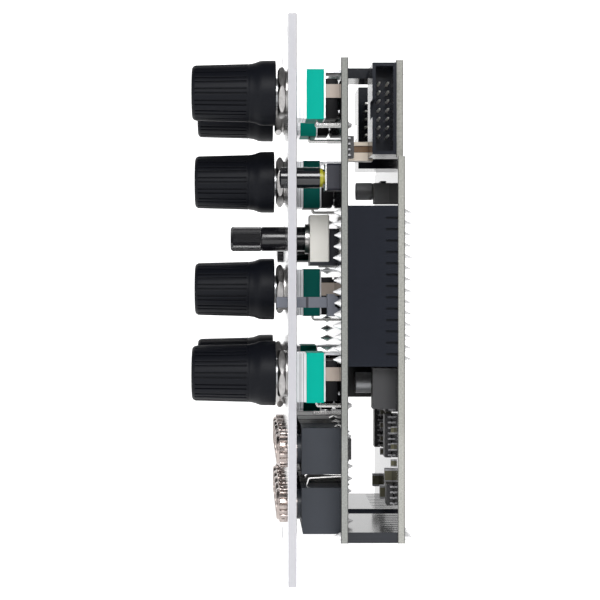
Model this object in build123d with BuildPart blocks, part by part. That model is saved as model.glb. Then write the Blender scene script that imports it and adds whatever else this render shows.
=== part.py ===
"""Synthesizer rack module: a front panel of knobs, buttons and sockets that carries two boards."""

import os

from build123d import *

os.makedirs("parts", exist_ok=True)

# Directions: X runs across the panel, Z runs up it and Y runs back from it.
# Y is zero on the panel's rear face, so what stands in front of the panel has a negative Y.
# X and Z are zero in the middle of the panel. All lengths are in millimetres.

# Panel
panel_width = 60.6
panel_height = 128.5
panel_thickness = 2.0
panel_edge_round = 0.25
rack_slot_width = 3.2
rack_slot_length = 5.2
rack_spacing_x = 45.72
rack_spacing_z = 122.5

# Boards: the control board is the one behind the panel, the main board the rear one
board_width = 60.0
board_height = 108.8
board_thickness = 1.6
control_board_gap = 9.9
board_spacing = 11.1
notch_depth = 4.0
notch_height = 22.1

# Places of the controls on the panel
side_column = 19.3
knob_middle_height = 15.4
outer_knob_offset = 32.35
inner_knob_offset = 13.05
bare_pot_height = -20.6
encoder_height = 14.6
right_button_height = 28.2
left_button_height = 11.5
switch_height = -1.22
jack_columns = 5
jack_pitch = 10.2
upper_jack_height = -34.4
lower_jack_height = -47.0

# Knob
knob_length = 19.3
knob_panel_gap = 2.55
knob_front_diameter = 12.7
knob_body_diameter = 13.4
knob_skirt_diameter = 14.9
knob_body_length = 12.9
knob_skirt_length = 3.9
knob_rim_round = 0.9
groove_pair_count = 15
groove_width = 0.36
groove_depth = 0.42
groove_front_land = 0.7
groove_rear_land = 0.5
groove_half_angle = 4.5
skirt_wall = 1.1
skirt_recess = 2.6
knob_bore_clearance = 0.03
knob_bore_depth = 13.0

# Potentiometer
pot_width = 9.5
pot_above_axis = 4.9
pot_below_axis = 6.5
pot_gap = 0.2
pot_frame_depth = 2.2
pot_frame_inset = 0.15
pot_body_depth = 4.0
pot_rear_plate_thickness = 0.35
pot_rear_plate_inset = 0.25
bushing_diameter = 6.9
bushing_length = 5.4
bushing_wall_clearance = 0.05
shaft_diameter = 6.0
shaft_tip_gap = 0.4
bare_shaft_length = 10.0
rotor_diameter = 7.8
rotor_thickness = 1.5
rotor_clearance = 0.25
track_thickness = 0.4
panel_hole_clearance = 0.25
pot_post_width = 0.5
pot_post_length = 6.0
pot_post_offset = 4.55
lug_width = 3.1
lug_thickness = 0.5
terminal_count = 3
terminal_pitch = 2.5
terminal_width = 0.9
terminal_thickness = 0.45
terminal_drop = 0.95
terminal_bend = 0.55
terminal_inset = 1.6

# Nut and washer of a potentiometer
nut_flats = 10.6
nut_thickness = 1.85
nut_chamfer = 0.3
washer_diameter = 10.2
washer_thickness = 0.25
thread_clearance = 0.04
nut_angles = (8, 8, 24, 17, 3, 12, 20)

# Control with the bare knurled shaft
encoder_shaft_reach = 13.2
encoder_knurl_length = 7.3
encoder_spline_count = 18
encoder_spline_depth = 0.3
encoder_collar_diameter = 7.3
encoder_collar_front = 2.95
encoder_collar_depth = 1.05
encoder_can_size = 11.3
encoder_can_depth = 4.6
encoder_can_wall = 0.8
encoder_can_chamfer = 0.25
encoder_foot_inset = 3.2
encoder_plate_thickness = 0.9
encoder_plate_rear_gap = 0.75
encoder_terminal_count = 3

# Tall push button
button_cap_diameter = 4.9
button_reach = 1.35
button_dome = 0.35
button_cap_rear = 5.6
button_travel = 0.3
button_wall_clearance = 0.15
button_bore_depth = 3.0
plunger_diameter = 4.3
plunger_thickness = 0.7
plunger_stem_diameter = 3.0
plunger_stem_rear = 1.4
tact_size = 6.1
tact_height = 3.15
tact_cover_thickness = 0.35
tact_clearance = 0.1
dome_thickness = 0.2
dome_gap = 0.1
tact_corner_chamfer = 0.4

# Slide switch with the long lever
lever_height = 2.43
lever_width = 3.0
lever_reach = 2.35
lever_shoulder = 7.2
lever_travel = 1.28
lever_band_depth = 8.4
lever_band_width = 0.6
lever_band_recess = 0.1
lever_tongue_height = 1.2
lever_tongue_width = 1.6
lever_tongue_length = 1.0
lever_clearance = 0.1
switch_body_height = 5.08
switch_body_width = 4.2
switch_body_depth = 1.75
switch_body_gap = 0.1
switch_foot_diameter = 1.7
switch_foot_spacing = 2.55

# Jack socket
jack_width = 9.0
jack_height = 10.5
jack_depth = 8.65
upper_jack_top_side = 5.3
lower_jack_bottom_side = 6.2
jack_corner_cut = 0.3
jack_corner_run = 1.7
jack_cavity_diameter = 5.2
jack_rear_wall = 0.7
sleeve_diameter = 5.9
sleeve_bore = 3.6
sleeve_front = 2.35
sleeve_seat_depth = 1.6
sleeve_clearance = 0.05
boss_diameter = 6.8
boss_depth = 0.95
jack_nut_diameter = 8.35
jack_nut_thickness = 1.75
jack_nut_collar_diameter = 7.5
jack_nut_collar_depth = 0.7
jack_nut_groove_count = 20
jack_nut_groove_diameter = 0.7
spring_thickness = 0.25
spring_width = 1.2
spring_bend = 0.55
ground_leg_width = 2.4
ground_leg_thickness = 0.35
ground_leg_rise = 0.5
outer_pin_offset = 2.95
inner_pin_offset = 3.95

# Board connectors with 2.54 mm pitch
pin_pitch = 2.54
pin_size = 0.64
strip_width = 2.4
strip_end_margin = 0.25
socket_height = 8.5
socket_hole = 0.9
insulator_notch_depth = 0.8
insulator_notch_width = 0.55
side_positions = 14
side_connector_height = 3.2
bottom_strip_end_gap = 0.8
bottom_strip_middle_gap = 2.0
top_positions = 4
top_strip_gap = 1.29
pin_reach = 5.5
socket_hole_margin = 1.0
pin_board_clearance = 0.05

# Side-facing shrouded headers with 2 mm pitch
fine_pitch = 2.0
fine_pin_size = 0.5
fine_rows = 7
shroud_height = 20.75
shroud_thickness = 5.45
shroud_depth = 12.5
shroud_wall = 0.75
shroud_cavity_depth = 6.0
shroud_mouth_inset = 2.9
shroud_centre_height = 43.3
key_width = 4.0
fine_pin_recess = 1.2
fine_tail_step = 1.3
fine_tail_bend = 0.3

# Chips, capacitors and solder
can_diameters = (4.3, 5.0)
can_heights = (6.0, 6.9)
can_base_thickness = 0.7
can_base_margin = 0.3
can_groove_depth = 0.15
can_groove_width = 0.7
can_groove_height = 1.4
soic_pitch = 1.27
soic_body_width = 3.9
soic_body_thickness = 1.5
soic_stand_off = 0.12
soic_end_margin = 0.1
soic_lead_span = 6.0
soic_lead_width = 0.42
soic_lead_thickness = 0.2
soic_foot_length = 0.6
chip_length = 3.2
chip_width = 1.6
chip_height = 1.6
chip_end_length = 0.5
small_chip_length = 1.6
small_chip_width = 0.8
small_chip_height = 0.7
inductor_size = 4.75
inductor_height = 3.5
converter_width = 9.0
converter_length = 8.3
converter_height = 9.3
choke_width = 4.4
choke_length = 9.2
choke_height = 5.2
coil_width = 4.5
coil_header_gap = 0.6
coil_drop = 8.53
coil_depth = 6.9
coil_base_height = 1.9
coil_winding_height = 1.6
coil_top_height = 0.9
coil_winding_inset = 0.4
coil_core_inset = 1.3
solder_diameter = 1.9
solder_height = 1.7
solder_tip_diameter = 0.24

# Places of the parts on the boards, as shares of half the board's width and half its height
can_shares = ((-0.24, 0.49), (0.09, -0.373))
main_chip_shares = ((0.50, -0.40, 14), (0.47, -0.585, 16), (0.62, -0.825, 8), (-0.75, -0.36, 14),
                    (-0.45, -0.60, 16), (0.30, 0.12, 16), (-0.33, 0.10, 14), (-0.40, -0.24, 8),
                    (0.35, -0.17, 8))
control_chip_shares = ((0.51, -0.64, 8), (0.78, 0.64, 8), (-0.05, -0.30, 14), (-0.55, 0.10, 8))
large_chip_shares = ((0.51, -0.755), (-0.60, -0.86), (0.10, -0.86), (-0.10, 0.32))
small_chip_shares = ((0.28, -0.50), (0.28, -0.56), (0.28, -0.62), (0.28, -0.68), (0.70, -0.55),
                     (0.70, -0.62), (0.70, -0.69), (-0.20, -0.52), (-0.20, -0.58), (-0.20, -0.64),
                     (-0.20, -0.70),
                     (0.36, -0.80), (0.36, -0.86), (-0.70, -0.55), (-0.70, -0.61), (0.55, -0.08),
                     (0.55, 0.02), (0.55, 0.12), (0.55, 0.22), (0.05, 0.02), (0.05, 0.10), (0.05, 0.18),
                     (-0.62, 0.05), (-0.62, 0.14), (-0.62, 0.23), (0.10, -0.20), (-0.12, -0.26))
inductor_share = (0.253, 0.463)
converter_share = (-0.25, -0.370)
choke_share = (0.76, -0.370)

# Depths that follow from the sizes above
panel_front = -panel_thickness
control_front = control_board_gap
control_rear = control_front + board_thickness
main_front = control_rear + board_spacing
main_rear = main_front + board_thickness
half_width = board_width / 2
half_height = board_height / 2
mouth_x = half_width - shroud_mouth_inset
shroud_floor_x = mouth_x - shroud_cavity_depth
shroud_back_x = mouth_x - shroud_depth
cut_overrun = 1.0

# Places that follow from the sizes above, as (X, Z)
upper_knob_height = knob_middle_height + outer_knob_offset
lower_knob_height = knob_middle_height - outer_knob_offset
knob_places = [
    (side_column, upper_knob_height),
    (-side_column, upper_knob_height),
    (0, knob_middle_height + inner_knob_offset),
    (0, knob_middle_height - inner_knob_offset),
    (side_column, lower_knob_height),
    (-side_column, lower_knob_height),
]
bare_pot_place = (0, bare_pot_height)
pot_places = knob_places + [bare_pot_place]
encoder_place = (0, encoder_height)
button_places = [(side_column, right_button_height), (-side_column, left_button_height)]
switch_place = (side_column, switch_height)
first_jack_column = -jack_pitch * (jack_columns - 1) / 2
jack_xs = [first_jack_column + jack_pitch * column for column in range(jack_columns)]
upper_jacks = [(x, upper_jack_height) for x in jack_xs]
lower_jacks = [(x, lower_jack_height) for x in jack_xs]
jack_places = upper_jacks + lower_jacks


def front_plane(y):
    """A plane at this depth that faces the front: its own x runs along X and its own y along Z."""
    return Plane.XZ.offset(-y)


def side_plane(x):
    """A plane across the panel at this X: its own x runs along Y and its own y along Z."""
    return Plane.YZ.offset(x)


def turn_plane(x, z):
    """A plane through a control's axis: its own x is the radius and its own y is Y."""
    return Plane(origin=(x, 0, z), x_dir=(1, 0, 0), z_dir=(0, 0, 1))


def turned(place, outline, mode=Mode.ADD):
    """Turn a closed outline of (radius, Y) points about the axis of a control at this place."""
    with BuildSketch(turn_plane(*place)) as section:
        with BuildLine():
            Polyline(*outline, close=True)
        make_face()
    revolve(section.sketch, axis=Axis((place[0], 0, place[1]), (0, 1, 0)), mode=mode)


def tube(place, outer_radius, inner_radius, front, rear, mode=Mode.ADD):
    """A tube, or a rod where the inner radius is zero, along Y at this place."""
    outline = [(inner_radius, front), (outer_radius, front), (outer_radius, rear), (inner_radius, rear)]
    turned(place, outline, mode)


def blocks(places, width, height, front, rear, mode=Mode.ADD):
    """One block at each place, from its front face to its rear face."""
    with BuildSketch(front_plane(rear)) as face:
        with Locations(*places):
            Rectangle(width, height)
    extrude(face.sketch, amount=rear - front, mode=mode)


def bent_strip(plane, width, path, thickness, bend):
    """A strip bent along a path that is drawn on a plane, with its width along the plane's normal."""
    with BuildSketch(plane) as side:
        with BuildLine():
            FilletPolyline(*path, radius=bend)
        trace(line_width=thickness)
    extrude(side.sketch, amount=width)


def shifted(places, dx, dz):
    """The same places, moved across and up."""
    return [(x + dx, z + dz) for x, z in places]


def board_place(share_x, share_z):
    """A place on a board, from shares of its half width and half height."""
    return (share_x * half_width, share_z * half_height)


def write(builder, name):
    """Label a finished piece and write its file."""
    builder.part.label = name
    export_step(builder.part, f"parts/{name}.step")


# Front panel: a flat plate with rack slots and one hole for each control
pot_hole_radius = bushing_diameter / 2 + panel_hole_clearance
encoder_hole_radius = shaft_diameter / 2 + panel_hole_clearance
button_hole_radius = button_cap_diameter / 2 + button_wall_clearance
jack_hole_radius = sleeve_diameter / 2 + sleeve_clearance
lever_slot_width = lever_width + 2 * button_wall_clearance
lever_slot_height = lever_height + lever_travel + 2 * button_wall_clearance

with BuildPart() as front_panel:
    with BuildSketch(front_plane(0)):
        Rectangle(panel_width, panel_height)
    extrude(amount=panel_thickness)
    fillet(front_panel.edges(), panel_edge_round)
    with BuildSketch(front_plane(cut_overrun)):
        with GridLocations(rack_spacing_x, rack_spacing_z, 2, 2):
            SlotOverall(rack_slot_length, rack_slot_width)
        with Locations(*pot_places):
            Circle(pot_hole_radius)
        with Locations(encoder_place):
            Circle(encoder_hole_radius)
        with Locations(*button_places):
            Circle(button_hole_radius)
        with Locations(*jack_places):
            Circle(jack_hole_radius)
        with Locations(switch_place):
            Rectangle(lever_slot_width, lever_slot_height)
    extrude(amount=panel_thickness + 2 * cut_overrun, mode=Mode.SUBTRACT)
write(front_panel, "front_panel")

# Control board: a plain rectangle
with BuildPart() as control_board:
    blocks([(0, 0)], board_width, board_height, control_front, control_rear)
write(control_board, "control_board")

# Main board: a rectangle with a notch in each upper corner, where the side headers' plugs pass
notch_places = [(side * (half_width - notch_depth / 2), half_height - notch_height / 2) for side in (1, -1)]
with BuildPart() as main_board:
    blocks([(0, 0)], board_width, board_height, main_front, main_rear)
    notch_front = main_front - cut_overrun
    blocks(notch_places, notch_depth, notch_height, notch_front, main_rear + cut_overrun, Mode.SUBTRACT)
write(main_board, "main_board")

# Knobs: a fluted body that widens to a plain skirt, with a bore for the shaft and a recess over the nut
knob_rear = panel_front - knob_panel_gap
knob_front = knob_rear - knob_length
knob_body_rear = knob_front + knob_body_length
knob_skirt_front = knob_rear - knob_skirt_length
groove_front = knob_front + groove_front_land
groove_rear = knob_body_rear - groove_rear_land
groove_floor = knob_front_diameter / 2 - groove_depth
groove_reach = knob_body_diameter / 2 - groove_floor + cut_overrun
shaft_radius = shaft_diameter / 2
knob_bore_radius = shaft_radius + knob_bore_clearance
recess_radius = knob_skirt_diameter / 2 - skirt_wall


def knob(place):
    """One knob at this place on the panel."""
    x, z = place
    outline = [
        (0, knob_front),
        (knob_front_diameter / 2, knob_front),
        (knob_body_diameter / 2, knob_body_rear),
        (knob_skirt_diameter / 2, knob_skirt_front),
        (knob_skirt_diameter / 2, knob_rear),
        (0, knob_rear),
    ]
    with BuildPart() as body:
        with BuildSketch(turn_plane(x, z)) as section:
            with BuildLine():
                Polyline(*outline, close=True)
            make_face()
            rim = section.vertices().group_by(Axis.Y)[0].sort_by(Axis.X)[-1]
            fillet(rim, knob_rim_round)
        revolve(axis=Axis((x, 0, z), (0, 1, 0)))
        with BuildSketch(front_plane(groove_rear)):
            with Locations((x, z)):
                for angle in (groove_half_angle, -groove_half_angle):
                    with PolarLocations(groove_floor + groove_reach / 2, groove_pair_count, angle):
                        Rectangle(groove_reach, groove_width)
        extrude(amount=groove_rear - groove_front, mode=Mode.SUBTRACT)
        tube(place, knob_bore_radius, 0, knob_rear - knob_bore_depth, knob_rear + cut_overrun, Mode.SUBTRACT)
        tube(place, recess_radius, 0, knob_rear - skirt_recess, knob_rear + cut_overrun, Mode.SUBTRACT)
    return body


for number, place in enumerate(knob_places, start=1):
    write(knob(place), f"knob_{number}")

# Potentiometer depths
pot_front = pot_gap
pot_body_front = pot_front + pot_frame_depth
pot_body_rear = pot_body_front + pot_body_depth
pot_plate_rear = pot_body_rear + pot_rear_plate_thickness
bushing_radius = bushing_diameter / 2
bushing_bore_radius = shaft_radius + bushing_wall_clearance
bushing_front = pot_front - bushing_length
pot_height = pot_above_axis + pot_below_axis
pot_centre_drop = (pot_above_axis - pot_below_axis) / 2
pot_centres = shifted(pot_places, 0, pot_centre_drop)
rotor_radius = rotor_diameter / 2
rotor_front = pot_body_front + rotor_clearance
rotor_rear = rotor_front + rotor_thickness
cavity_radius = rotor_radius + rotor_clearance
track_front = rotor_rear + rotor_clearance
track_rear = track_front + track_thickness

# Potentiometer frames: a metal face with folded sides and the threaded bushing
with BuildPart() as pot_frames:
    frame_height = pot_height - 2 * pot_frame_inset
    blocks(pot_centres, pot_width - pot_frame_inset, frame_height, pot_front, pot_body_front)
    for place in pot_places:
        tube(place, bushing_radius, 0, bushing_front, pot_front)
        bore_front = bushing_front - cut_overrun
        tube(place, bushing_bore_radius, 0, bore_front, pot_body_front + cut_overrun, Mode.SUBTRACT)
write(pot_frames, "pot_frames")

# Potentiometer bodies: a moulded block with a round chamber for the rotor
with BuildPart() as pot_bodies:
    blocks(pot_centres, pot_width, pot_height, pot_body_front, pot_body_rear)
    for place in pot_places:
        tube(place, cavity_radius, 0, pot_body_front - cut_overrun, track_rear, Mode.SUBTRACT)
write(pot_bodies, "pot_bodies")

# Resistive tracks: a thin disc on the floor of each chamber
with BuildPart() as pot_tracks:
    for place in pot_places:
        tube(place, rotor_radius, rotor_clearance, track_front, track_rear)
write(pot_tracks, "pot_tracks")

# Rear plates with two thin posts each, which stand on the control board
plate_margin = 2 * pot_rear_plate_inset
with BuildPart() as pot_rear_plates:
    blocks(pot_centres, pot_width - plate_margin, pot_height - plate_margin, pot_body_rear, pot_plate_rear)
    for side in (1, -1):
        post_places = shifted(pot_places, 0, side * pot_post_offset)
        blocks(post_places, pot_post_length, pot_post_width, pot_plate_rear, control_front)
write(pot_rear_plates, "pot_rear_plates")

# Side lugs: two flat tabs on each potentiometer, level with its shaft
lug_offset = pot_width / 2 - plate_margin - lug_thickness
with BuildPart() as pot_lugs:
    for side in (1, -1):
        lug_places = shifted(pot_places, side * lug_offset, 0)
        blocks(lug_places, lug_thickness, lug_width, pot_plate_rear, control_front)
write(pot_lugs, "pot_lugs")

# Terminals: three bent wires under each potentiometer
terminal_front = pot_body_rear - terminal_inset
terminal_foot = pot_below_axis + terminal_drop
with BuildPart() as pot_terminals:
    for x, z in pot_places:
        path = [
            (terminal_front, z - pot_below_axis),
            (terminal_front, z - terminal_foot),
            (control_front, z - terminal_foot),
        ]
        for index in range(terminal_count):
            offset = (index - (terminal_count - 1) / 2) * terminal_pitch
            plane = side_plane(x + offset - terminal_width / 2)
            bent_strip(plane, terminal_width, path, terminal_thickness, terminal_bend)
write(pot_terminals, "pot_terminals")


def pot_shaft(place, tip_front):
    """One shaft with its rotor, from its tip to the rotor's rear face."""
    tip_chamfer = shaft_tip_gap
    outline = [
        (0, tip_front),
        (shaft_radius - tip_chamfer, tip_front),
        (shaft_radius, tip_front + tip_chamfer),
        (shaft_radius, rotor_front),
        (rotor_radius, rotor_front),
        (rotor_radius, rotor_rear),
        (0, rotor_rear),
    ]
    with BuildPart() as shaft:
        turned(place, outline)
    return shaft


knob_shaft_front = knob_rear - knob_bore_depth + shaft_tip_gap
bare_shaft_front = panel_front - bare_shaft_length
for number, place in enumerate(knob_places, start=1):
    write(pot_shaft(place, knob_shaft_front), f"pot_shaft_{number}")
write(pot_shaft(bare_pot_place, bare_shaft_front), "pot_shaft_7")

# Washers and hex nuts that clamp the potentiometers to the panel
washer_front = panel_front - washer_thickness
nut_front = washer_front - nut_thickness
nut_bore_radius = bushing_radius + thread_clearance
nut_corner_radius = nut_flats / 2 + nut_chamfer + cut_overrun
with BuildPart() as pot_washers:
    for place in pot_places:
        tube(place, washer_diameter / 2, nut_bore_radius, washer_front, panel_front)
write(pot_washers, "pot_washers")

with BuildPart() as pot_nuts:
    with BuildSketch(front_plane(washer_front)):
        for place, angle in zip(pot_places, nut_angles):
            with Locations(place):
                RegularPolygon(nut_flats / 2, 6, major_radius=False, rotation=angle)
                Circle(nut_bore_radius, mode=Mode.SUBTRACT)
    extrude(amount=nut_thickness)
    for place in pot_places:
        for face, inward in ((nut_front, 1), (washer_front, -1)):
            wedge = [
                (nut_flats / 2, face - inward * cut_overrun),
                (nut_corner_radius, face - inward * cut_overrun),
                (nut_corner_radius, face + inward * (nut_chamfer + cut_overrun)),
                (nut_flats / 2, face),
            ]
            turned(place, wedge, Mode.SUBTRACT)
write(pot_nuts, "pot_nuts")

# Control with the bare shaft: can, collar, splined shaft and terminals
encoder_shaft_front = panel_front - encoder_shaft_reach
encoder_knurl_rear = encoder_shaft_front + encoder_knurl_length
encoder_can_front = encoder_collar_front + encoder_collar_depth
encoder_can_rear = encoder_can_front + encoder_can_depth
encoder_chamber_front = encoder_can_front + encoder_can_wall
encoder_chamber_rear = encoder_can_rear - encoder_can_wall
encoder_rotor_front = encoder_chamber_front + rotor_clearance
encoder_rotor_rear = encoder_chamber_rear - rotor_clearance

with BuildPart() as encoder_shaft:
    tube(encoder_place, shaft_radius, 0, encoder_shaft_front, encoder_rotor_front)
    tube(encoder_place, rotor_radius, 0, encoder_rotor_front, encoder_rotor_rear)
    with BuildSketch(front_plane(encoder_knurl_rear)):
        with Locations(encoder_place):
            with PolarLocations(shaft_radius, encoder_spline_count):
                RegularPolygon(encoder_spline_depth, 3)
    extrude(amount=encoder_knurl_length + cut_overrun, mode=Mode.SUBTRACT)
write(encoder_shaft, "encoder_shaft")

with BuildPart() as encoder_collar:
    collar_radius = encoder_collar_diameter / 2
    tube(encoder_place, collar_radius, bushing_bore_radius, encoder_collar_front, encoder_can_front)
write(encoder_collar, "encoder_collar")

with BuildPart() as encoder_can:
    blocks([encoder_place], encoder_can_size, encoder_can_size, encoder_can_front, encoder_can_rear)
    chamfer(encoder_can.faces().sort_by(Axis.Y)[-1].edges(), encoder_can_chamfer)
    shaft_hole_front = encoder_can_front - cut_overrun
    tube(encoder_place, bushing_bore_radius, 0, shaft_hole_front, encoder_chamber_rear, Mode.SUBTRACT)
    tube(encoder_place, cavity_radius, 0, encoder_chamber_front, encoder_chamber_rear, Mode.SUBTRACT)
write(encoder_can, "encoder_can")

# The foot reaches down behind the can to a plate under it, and the terminals lie under that plate
encoder_foot_size = encoder_can_size - 2 * encoder_foot_inset
encoder_can_bottom = encoder_height - encoder_can_size / 2
encoder_plate_bottom = encoder_can_bottom - encoder_plate_thickness
encoder_plate_rear = control_front - encoder_plate_rear_gap
foot_top = encoder_height + encoder_foot_size / 2
foot_middle = (foot_top + encoder_plate_bottom) / 2
plate_middle = (encoder_can_bottom + encoder_plate_bottom) / 2
with BuildPart() as encoder_foot:
    foot_height = foot_top - encoder_plate_bottom
    blocks([(0, foot_middle)], encoder_foot_size, foot_height, encoder_can_rear, control_front)
    plate = [(0, plate_middle)]
    blocks(plate, encoder_can_size, encoder_plate_thickness, encoder_can_front, encoder_plate_rear)
write(encoder_foot, "encoder_foot")

encoder_terminal_front = encoder_can_front + encoder_can_depth / 2
encoder_terminal_z = encoder_plate_bottom - terminal_thickness / 2
encoder_terminal_places = [
    ((index - (encoder_terminal_count - 1) / 2) * terminal_pitch, encoder_terminal_z)
    for index in range(encoder_terminal_count)
]
with BuildPart() as encoder_terminals:
    blocks(encoder_terminal_places, terminal_width, terminal_thickness, encoder_terminal_front, control_front)
write(encoder_terminals, "encoder_terminals")

# Push button depths
button_front = panel_front - button_reach
plunger_front = button_cap_rear
plunger_rear = plunger_front + plunger_thickness
tact_front = control_front - tact_height
tact_base_front = tact_front + tact_cover_thickness
stem_radius = plunger_stem_diameter / 2
stem_rear = tact_base_front + plunger_stem_rear
stem_hole_radius = stem_radius + tact_clearance
dome_front = stem_rear + button_travel + dome_gap
dome_rear = dome_front + dome_thickness
cap_radius = button_cap_diameter / 2


def button_cap(place):
    """A tall cap with a slightly domed front, open behind for the plunger's stem."""
    x, z = place
    with BuildPart() as cap:
        with BuildSketch(turn_plane(x, z)):
            with BuildLine():
                top = (0, button_front - button_dome)
                shoulder = (cap_radius / 2, button_front - button_dome * 3 / 4)
                Polyline((cap_radius, button_front), (cap_radius, button_cap_rear), (0, button_cap_rear), top)
                ThreePointArc(top, shoulder, (cap_radius, button_front))
            make_face()
        revolve(axis=Axis((x, 0, z), (0, 1, 0)))
        bore_front = button_cap_rear - button_bore_depth
        tube(place, stem_radius, 0, bore_front, button_cap_rear + cut_overrun, Mode.SUBTRACT)
    return cap


def button_plunger(place):
    """A stem with a flange that the cap sits on."""
    with BuildPart() as plunger:
        tube(place, stem_radius, 0, button_cap_rear - button_bore_depth, stem_rear)
        tube(place, plunger_diameter / 2, 0, plunger_front, plunger_rear)
    return plunger


for side, place in zip(("right", "left"), button_places):
    write(button_cap(place), f"{side}_button_cap")
    write(button_plunger(place), f"{side}_button_plunger")

with BuildPart() as button_covers:
    blocks(button_places, tact_size, tact_size, tact_front, tact_base_front)
    for place in button_places:
        hole_front = tact_front - cut_overrun
        tube(place, stem_hole_radius, 0, hole_front, tact_base_front + cut_overrun, Mode.SUBTRACT)
write(button_covers, "button_covers")

with BuildPart() as button_bases:
    blocks(button_places, tact_size, tact_size, tact_base_front, control_front)
    chamfer(button_bases.edges().filter_by(Axis.Y), tact_corner_chamfer)
    for place in button_places:
        tube(place, stem_hole_radius, 0, tact_base_front - cut_overrun, dome_rear, Mode.SUBTRACT)
write(button_bases, "button_bases")

with BuildPart() as button_domes:
    for place in button_places:
        tube(place, stem_hole_radius, 0, dome_front, dome_rear)
write(button_domes, "button_domes")

# Slide switch: a long flat lever, shown at the upper end of its travel, on a low body with two round feet
lever_front = panel_front - lever_reach
lever_centre = switch_height + lever_travel / 2
lever_place = (side_column, lever_centre)
switch_body_front = lever_shoulder + switch_body_gap
switch_body_rear = switch_body_front + switch_body_depth
foot_radius = switch_foot_diameter / 2
foot_centre = control_front - foot_radius
foot_left = side_column - switch_body_width / 2
tongue_rear = lever_shoulder + lever_tongue_length
tongue_slot_rear = tongue_rear + lever_clearance
tongue_slot_width = lever_tongue_width + 2 * lever_clearance
tongue_slot_height = lever_tongue_height + lever_travel + 2 * lever_clearance
band_front = lever_front + lever_band_depth

with BuildPart() as switch_lever:
    blocks([lever_place], lever_width, lever_height, lever_front, lever_shoulder)
    blocks([lever_place], lever_tongue_width, lever_tongue_height, lever_shoulder, tongue_rear)
    with BuildSketch(side_plane(side_column + lever_width / 2)):
        with Locations((band_front, lever_centre)):
            Rectangle(lever_band_width, lever_height)
    extrude(amount=-lever_band_recess, mode=Mode.SUBTRACT)
write(switch_lever, "switch_lever")

with BuildPart() as switch_body:
    blocks([switch_place], switch_body_width, switch_body_height, switch_body_front, switch_body_rear)
    with BuildSketch(side_plane(foot_left)):
        with Locations((foot_centre, switch_height)):
            with GridLocations(0, switch_foot_spacing, 1, 2):
                Circle(foot_radius)
    extrude(amount=switch_body_width)
    blocks([switch_place], tongue_slot_width, tongue_slot_height, switch_body_front - cut_overrun,
           tongue_slot_rear, Mode.SUBTRACT)
write(switch_body, "switch_body")

# Jack sockets: the two rows face each other with their contact sides, and the lower one has a cut corner
jack_front = control_front - jack_depth
jack_cavity_rear = control_front - jack_rear_wall
sleeve_radius = sleeve_diameter / 2
sleeve_end = panel_front - sleeve_front
sleeve_rear = jack_front + sleeve_seat_depth
boss_front = jack_front - boss_depth
seat_radius = sleeve_radius + sleeve_clearance
upper_centres = shifted(upper_jacks, 0, upper_jack_top_side - jack_height / 2)
lower_centres = shifted(lower_jacks, 0, jack_height / 2 - lower_jack_bottom_side)
upper_top = upper_jack_height + upper_jack_top_side
lower_bottom = lower_jack_height - lower_jack_bottom_side

with BuildPart() as jack_housings:
    blocks(upper_centres + lower_centres, jack_width, jack_height, jack_front, control_front)
    with BuildSketch(side_plane(-half_width)):
        with BuildLine():
            Polyline(
                (jack_front, lower_bottom + jack_corner_run),
                (jack_front, lower_bottom),
                (jack_front + jack_corner_cut, lower_bottom),
                close=True,
            )
        make_face()
    extrude(amount=board_width, mode=Mode.SUBTRACT)
    for place in jack_places:
        tube(place, boss_diameter / 2, 0, boss_front, jack_front)
        tube(place, seat_radius, 0, boss_front - cut_overrun, sleeve_rear, Mode.SUBTRACT)
        tube(place, jack_cavity_diameter / 2, 0, jack_front, jack_cavity_rear, Mode.SUBTRACT)
write(jack_housings, "jack_housings")

with BuildPart() as jack_sleeves:
    for place in jack_places:
        tube(place, sleeve_radius, sleeve_bore / 2, sleeve_end, sleeve_rear)
write(jack_sleeves, "jack_sleeves")

jack_nut_front = panel_front - jack_nut_thickness
with BuildPart() as jack_nuts:
    with BuildSketch(front_plane(panel_front)):
        with Locations(*jack_places):
            Circle(jack_nut_diameter / 2)
            Circle(sleeve_radius + thread_clearance, mode=Mode.SUBTRACT)
            with PolarLocations(jack_nut_diameter / 2, jack_nut_groove_count):
                Circle(jack_nut_groove_diameter / 2, mode=Mode.SUBTRACT)
    extrude(amount=jack_nut_thickness)
    with BuildSketch(front_plane(jack_nut_front)):
        with Locations(*jack_places):
            Circle(jack_nut_collar_diameter / 2)
            Circle(sleeve_radius + thread_clearance, mode=Mode.SUBTRACT)
    extrude(amount=jack_nut_collar_depth)
write(jack_nuts, "jack_nuts")

# Contact springs in the gap between the two rows, one strip from each housing to the control board
upper_bottom = upper_top - jack_height
lower_top = lower_bottom + jack_height
contact_gap = upper_bottom - lower_top
spring_half = spring_thickness / 2
upper_spring_path_shares = ((0.10, -0.28), (0.20, -0.07), (1.0, -0.20))
lower_spring_path_shares = ((0.15, -0.97), (0.21, -0.45), (1.0, -0.33))
with BuildPart() as jack_springs:
    for x in jack_xs:
        for shares in (upper_spring_path_shares, lower_spring_path_shares):
            path = [
                (jack_front + jack_depth * along, upper_bottom + contact_gap * across)
                for along, across in shares
            ]
            bent_strip(side_plane(x - spring_width / 2), spring_width, path, spring_thickness, spring_bend)
write(jack_springs, "jack_springs")

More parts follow.
